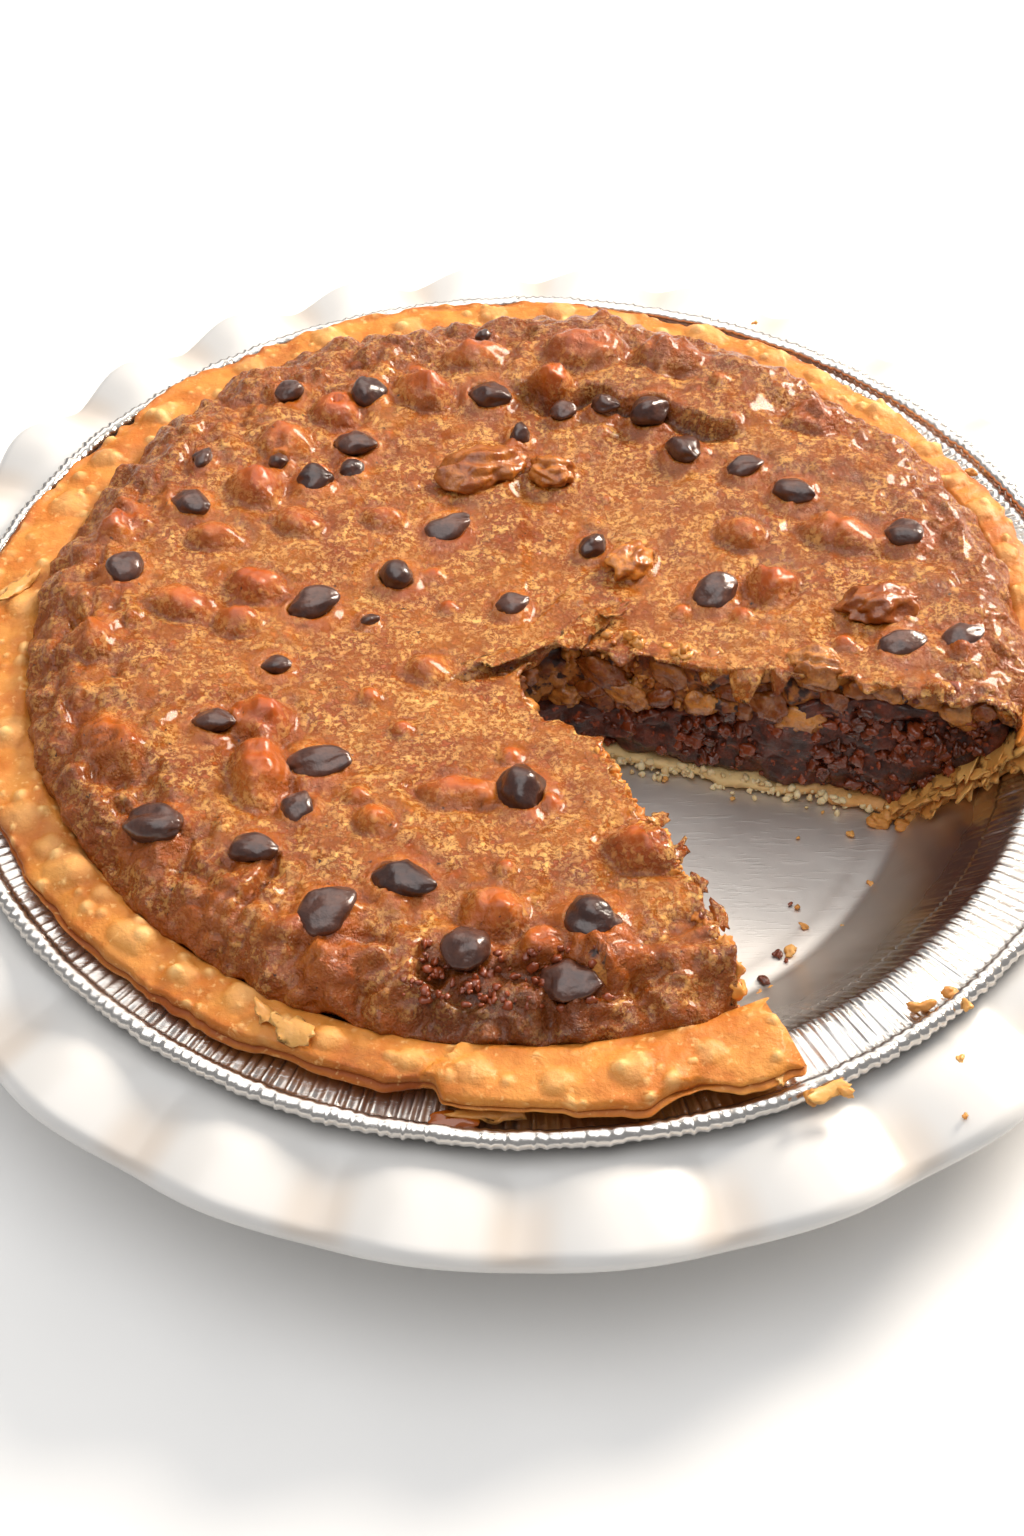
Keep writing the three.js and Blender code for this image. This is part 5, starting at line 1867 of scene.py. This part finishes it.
@dataclass
class Flakes:
    """Thin torn sheets: of pastry at the wall and the lip, and of skin at the front cut."""

    # x, y, z, length, width, turn about Z, tilt about its length, tilt about its width, curl
    skin_flakes: list[tuple[float, ...]] = field(default_factory=lambda: [
        (27.0, -64.5, 46.0, 8, 3.5, 50, 24, 10, 0.8), (24.0, -57.0, 46.6, 5, 3, 20, 10, 14, 0.5),
        (34.2, -79.0, 45.4, 6, 3, -60, 20, 10, 0.5), (31.0, -72.0, 45.6, 5, 3, -70, 30, 0, 0.5),
        (-4.5, -10.2, 43.4, 16, 5, 22, -10, 0, 0.4), (11.5, -4.0, 44.4, 14, 6, 44, 20, 0, 0.8),
        (17.5, 1.0, 44.8, 8, 5, 30, -18, 6, 0.6), (13.5, -41.0, 43.4, 5, 3, -40, 14, 0, 0.4),
        (96.0, -27.0, 44.0, 6, 4, 20, 30, 10, 0.8),
    ])
    lip_flakes: list[tuple[float, ...]] = field(default_factory=lambda: [
        (-6.5, -115.4, 37.6, 14, 3, 4, 12, 2, 0.8), (-42.5, -101.5, 42.4, 9, 5, -28, 14, 6, 1.2),
        (-47.0, -98.0, 42.2, 6, 4, -35, -16, 0, 1.0), (-109.0, 12.0, 42.2, 11, 3.4, 62, 20, 6, 1.0),
        (-8.0, -113.0, 40.6, 9, 4, 6, -18, 0, 0.8), (51.0, -112.6, 38.9, 8, 3, 26, 20, 6, 0.8),
        (44.0, -109.5, 40.0, 6, 2.4, 50, 30, 0, 0.6),
    ])

    # the wall of the case along the back cut: radius and height of its foot, its run and its climb
    wall_foot: tuple[float, float] = (84.0, 9.5)
    wall_slope: tuple[float, float] = (23.7, 26.6)
    wall_count: int = 46
    # least and most of the length, the width, the roll and the curl of its sheets
    wall_sheet: tuple[tuple[float, float], ...] = ((4, 9), (5, 11), (-16, 16), (-0.5, 0.8))
    drip_place: tuple[float, float, float] = (-14.0, -117.0, 37.3)
    drip_size: tuple[float, float, float] = (4.2, 2.1, 1.0)

    def sheet(self, ball: np.ndarray, row: Sequence[float], seed: float) -> np.ndarray:
        """One torn sheet in place.

        Args:
            ball: vertices of a unit ball.
            row: its row: place, length, width, turn, roll, pitch and curl.
            seed: another number gives another shape.

        Returns:
            Its vertices in mm.
        """
        x, y, z, length, width, turn, roll, pitch, curl = row
        angle = np.arctan2(ball[:, 1], ball[:, 0])
        ring = np.stack([np.cos(angle) * 1.2 + seed, np.sin(angle) * 1.2, np.zeros(len(ball))], 1)
        ragged = 1 + 0.45 * rough(ring, 0.42, seed, 3)
        flat = ball * ragged[:, None]
        thick = np.sign(ball[:, 2]) * np.abs(ball[:, 2]) ** 0.35 * 0.2
        shape = np.stack([flat[:, 0] * length / 2, flat[:, 1] * width / 2, thick], 1)
        curled = curl * (flat[:, 0] ** 2 - 0.5 * flat[:, 1] ** 2)
        shape[:, 2] += curled + 0.35 * rough(shape * (1, 1, 0), 2.4, seed)
        shape = turned(turned(turned(shape, (1, 0, 0), roll), (0, 1, 0), pitch), (0, 0, 1), turn)
        return shape + (x, y, z)

    def wall_rows(self) -> list[tuple[np.ndarray, float]]:
        """Places for the sheets of pastry that the torn wall shows at the back cut.

        Returns:
            The vertices of each sheet in mm, with a random number from 0 to 1.
        """
        draw = np.random.default_rng(3)
        ball, _ = seed_mesh("ico", 3)
        made = []
        (foot, floor), (run, climb) = self.wall_foot, self.wall_slope
        slope = math.atan2(climb, run)
        for i in range(self.wall_count):
            up = draw.uniform(0.02, 1.02)
            inward = draw.uniform(0.8, 4.6)
            out = foot + run * up - inward * math.sin(slope)
            high = floor + climb * up + inward * math.cos(slope)
            length, width, roll, curl = (draw.uniform(*ends) for ends in self.wall_sheet)
            shape = self.sheet(ball, (0, 0, 0, length, width, 0, roll, 0, curl), i * 1.9)
            shape = turned(shape, (0, 1, 0), -math.degrees(slope) + draw.uniform(-14, 14))
            into_gap = draw.uniform(-1, 4.5) * (1 - 0.4 * up)
            made.append((Side.BACK.lay(shape, out, into_gap, high), draw.random()))
        return made

    def build(self, skin: bpy.types.Material, pastry: bpy.types.Material, syrup: bpy.types.Material) -> None:
        """All the sheets, a piece for each food, and the drip of syrup.

        Args:
            skin: the material of the skin.
            pastry: the material of the pastry.
            syrup: the material of the drip.
        """
        ball, corners = seed_mesh("ico", 3)
        for name, rows, slot, finish in (
            ("skin_flakes", self.skin_flakes, "baked_skin", skin),
            ("lip_flakes", self.lip_flakes, "pastry", pastry),
        ):
            shapes = [self.sheet(ball, row, i * 2.3 + 1) for i, row in enumerate(rows)]
            tones = [float(lattice(i, 3, 3)) for i in range(len(rows))]
            obj = gather(name, shapes, [corners] * len(shapes), tones)
            mark(obj, "dry", np.ones(len(obj.data.vertices)))
            keep(obj, finish)
        drop, drop_corners = seed_mesh("ico", 4)
        spread = 1 + 0.3 * rough(drop * (1, 1, 0), 0.7, 3, 2)
        drip = drop * self.drip_size * np.stack([spread, spread, np.ones(len(drop))], 1)
        shape = turned(drip, (0, 0, 1), -8) + self.drip_place
        keep(gather("syrup_drip", [shape], [drop_corners], [0.5]), syrup)
        shapes, tones = zip(*self.wall_rows())
        keep(gather("torn_wall_flakes", shapes, [corners] * len(shapes), tones), pastry)


# ------------------------------------------------------------------ stage


@dataclass
class Studio:
    """A pale floor, soft light from the back right, and the camera."""

    lens: float = 46.875
    sensor: float = 36.0
    tilt: float = 48.7148
    roll: float = -0.2504
    eye: tuple[float, float, float] = (-3.493, -299.283, 337.44)
    floor_colour: str = "#ecebe9"
    sky_colour: str = "#fbfcff"
    sky_strength: float = 0.34
    # soft boxes: name, place in mm, width in metres, power in watts, colour
    lights: tuple[tuple[str, tuple[float, float, float], float, float, str], ...] = (
        ("window", (640, 520, 560), 0.4, 17, "#fff2e2"),
        ("back_window", (-150, 1100, 1150), 1.2, 6, "#fff8f0"),
        ("ceiling", (-250, -150, 1650), 2.0, 20, "#ffffff"),
    )

    def camera(self) -> None:
        """Sets the camera at the photograph's angle."""
        phi, rho = math.radians(self.tilt), math.radians(self.roll)
        ahead = Vector((0, math.cos(phi), -math.sin(phi)))
        right0, up0 = Vector((1, 0, 0)), Vector((0, math.sin(phi), math.cos(phi)))
        right = math.cos(rho) * right0 + math.sin(rho) * up0
        up = -math.sin(rho) * right0 + math.cos(rho) * up0
        turn = Matrix((right, up, -ahead)).transposed().to_4x4()
        bpy.ops.object.camera_add(location=(0, 0, 0))
        camera = bpy.context.object
        camera.name = "camera"
        camera.data.lens = self.lens
        camera.data.sensor_width = self.sensor
        camera.data.sensor_fit = "AUTO"
        camera.data.clip_start, camera.data.clip_end = 0.01, 10
        camera.matrix_world = Matrix.Translation(Vector(self.eye) * MM) @ turn
        bpy.context.scene.camera = camera

    def light(self, name: str, place: Sequence[float], size: float, power: float, colour: str) -> None:
        """Adds one soft box that looks at the pie, with its place in mm and its size in metres.

        Args:
            name: name of the lamp.
            place: where it hangs, in mm.
            size: its width in metres.
            power: in watts.
            colour: sRGB hex colour.
        """
        spot = Vector(place) * MM
        bpy.ops.object.light_add(type="AREA", location=spot)
        lamp = bpy.context.object
        lamp.name = name
        lamp.data.shape = "DISK"
        lamp.data.size = size
        lamp.data.energy = power
        lamp.data.color = linear(colour)[:3]
        lamp.rotation_mode = "QUATERNION"
        lamp.rotation_quaternion = (Vector((0, 0, 0.03)) - spot).to_track_quat("-Z", "Y")

    def build(self) -> None:
        """Floor, light, sky and camera."""
        bpy.ops.object.select_all(action="DESELECT")
        bpy.ops.mesh.primitive_plane_add(size=6, location=(0, 0, 0))
        floor = bpy.context.object
        floor.name = "floor"
        material = bpy.data.materials.new("pale_floor")
        material.use_nodes = True
        shader = material.node_tree.nodes["Principled BSDF"]
        shader.inputs["Base Color"].default_value = linear(self.floor_colour)
        shader.inputs["Roughness"].default_value = 0.6
        floor.data.materials.append(material)
        for row in self.lights:
            self.light(*row)
        world = bpy.data.worlds.new("sky")
        world.use_nodes = True
        sky = world.node_tree.nodes["Background"]
        sky.inputs["Color"].default_value = linear(self.sky_colour)
        sky.inputs["Strength"].default_value = self.sky_strength
        bpy.context.scene.world = world
        bpy.context.scene.view_settings.view_transform = "Standard"
        self.camera()


def main() -> None:
    """Builds the pie piece by piece, then the stage."""
    logging.basicConfig(level=logging.INFO, format="%(message)s")
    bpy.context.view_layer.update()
    skin = BakedSkin("baked_sugar_skin").material()
    pastry = BakedPastry("short_pastry").material()
    chocolate_lump = CHOCOLATE_LUMP.material()
    pastry_flake = PASTRY_FLAKE.material()
    PieDish().build(WhiteGlaze("white_glaze").material())
    FoilTin().build(Foil("aluminium_foil").material())
    PastryLip().build(pastry)
    PastryCase().build(pastry)
    filling = Filling()
    filling.build_chocolate(ChocolateFilling("baked_chocolate_filling").material())
    filling.build_nuts(skin, NutFilling("brown_sugar_nut_filling").material())
    TornSkin().build(filling, skin)
    Morsels().build(DARK_CHOCOLATE.material())
    nuts = Walnuts()
    nuts.build(ROASTED_WALNUT.material())
    nuts.build_in_cut(CUT_WALNUT.material())
    crumble = Crumble()
    crumble.lumps_at_cut(chocolate_lump, FILLING_CRUMB.material())
    crumble.scatter("pastry_crumbs", crumble.crumbs, "pastry", pastry_flake)
    crumble.scatter("dark_crumbs", crumble.dark_crumbs, "chocolate_filling", chocolate_lump)
    crumble.ledge(PALE_CRUMB.material())
    crumble.front_edge(TORN_CRUMB.material())
    Flakes().build(skin, pastry_flake, AMBER_SYRUP.material())
    Studio().build()


if __name__ == "__main__":
    main()
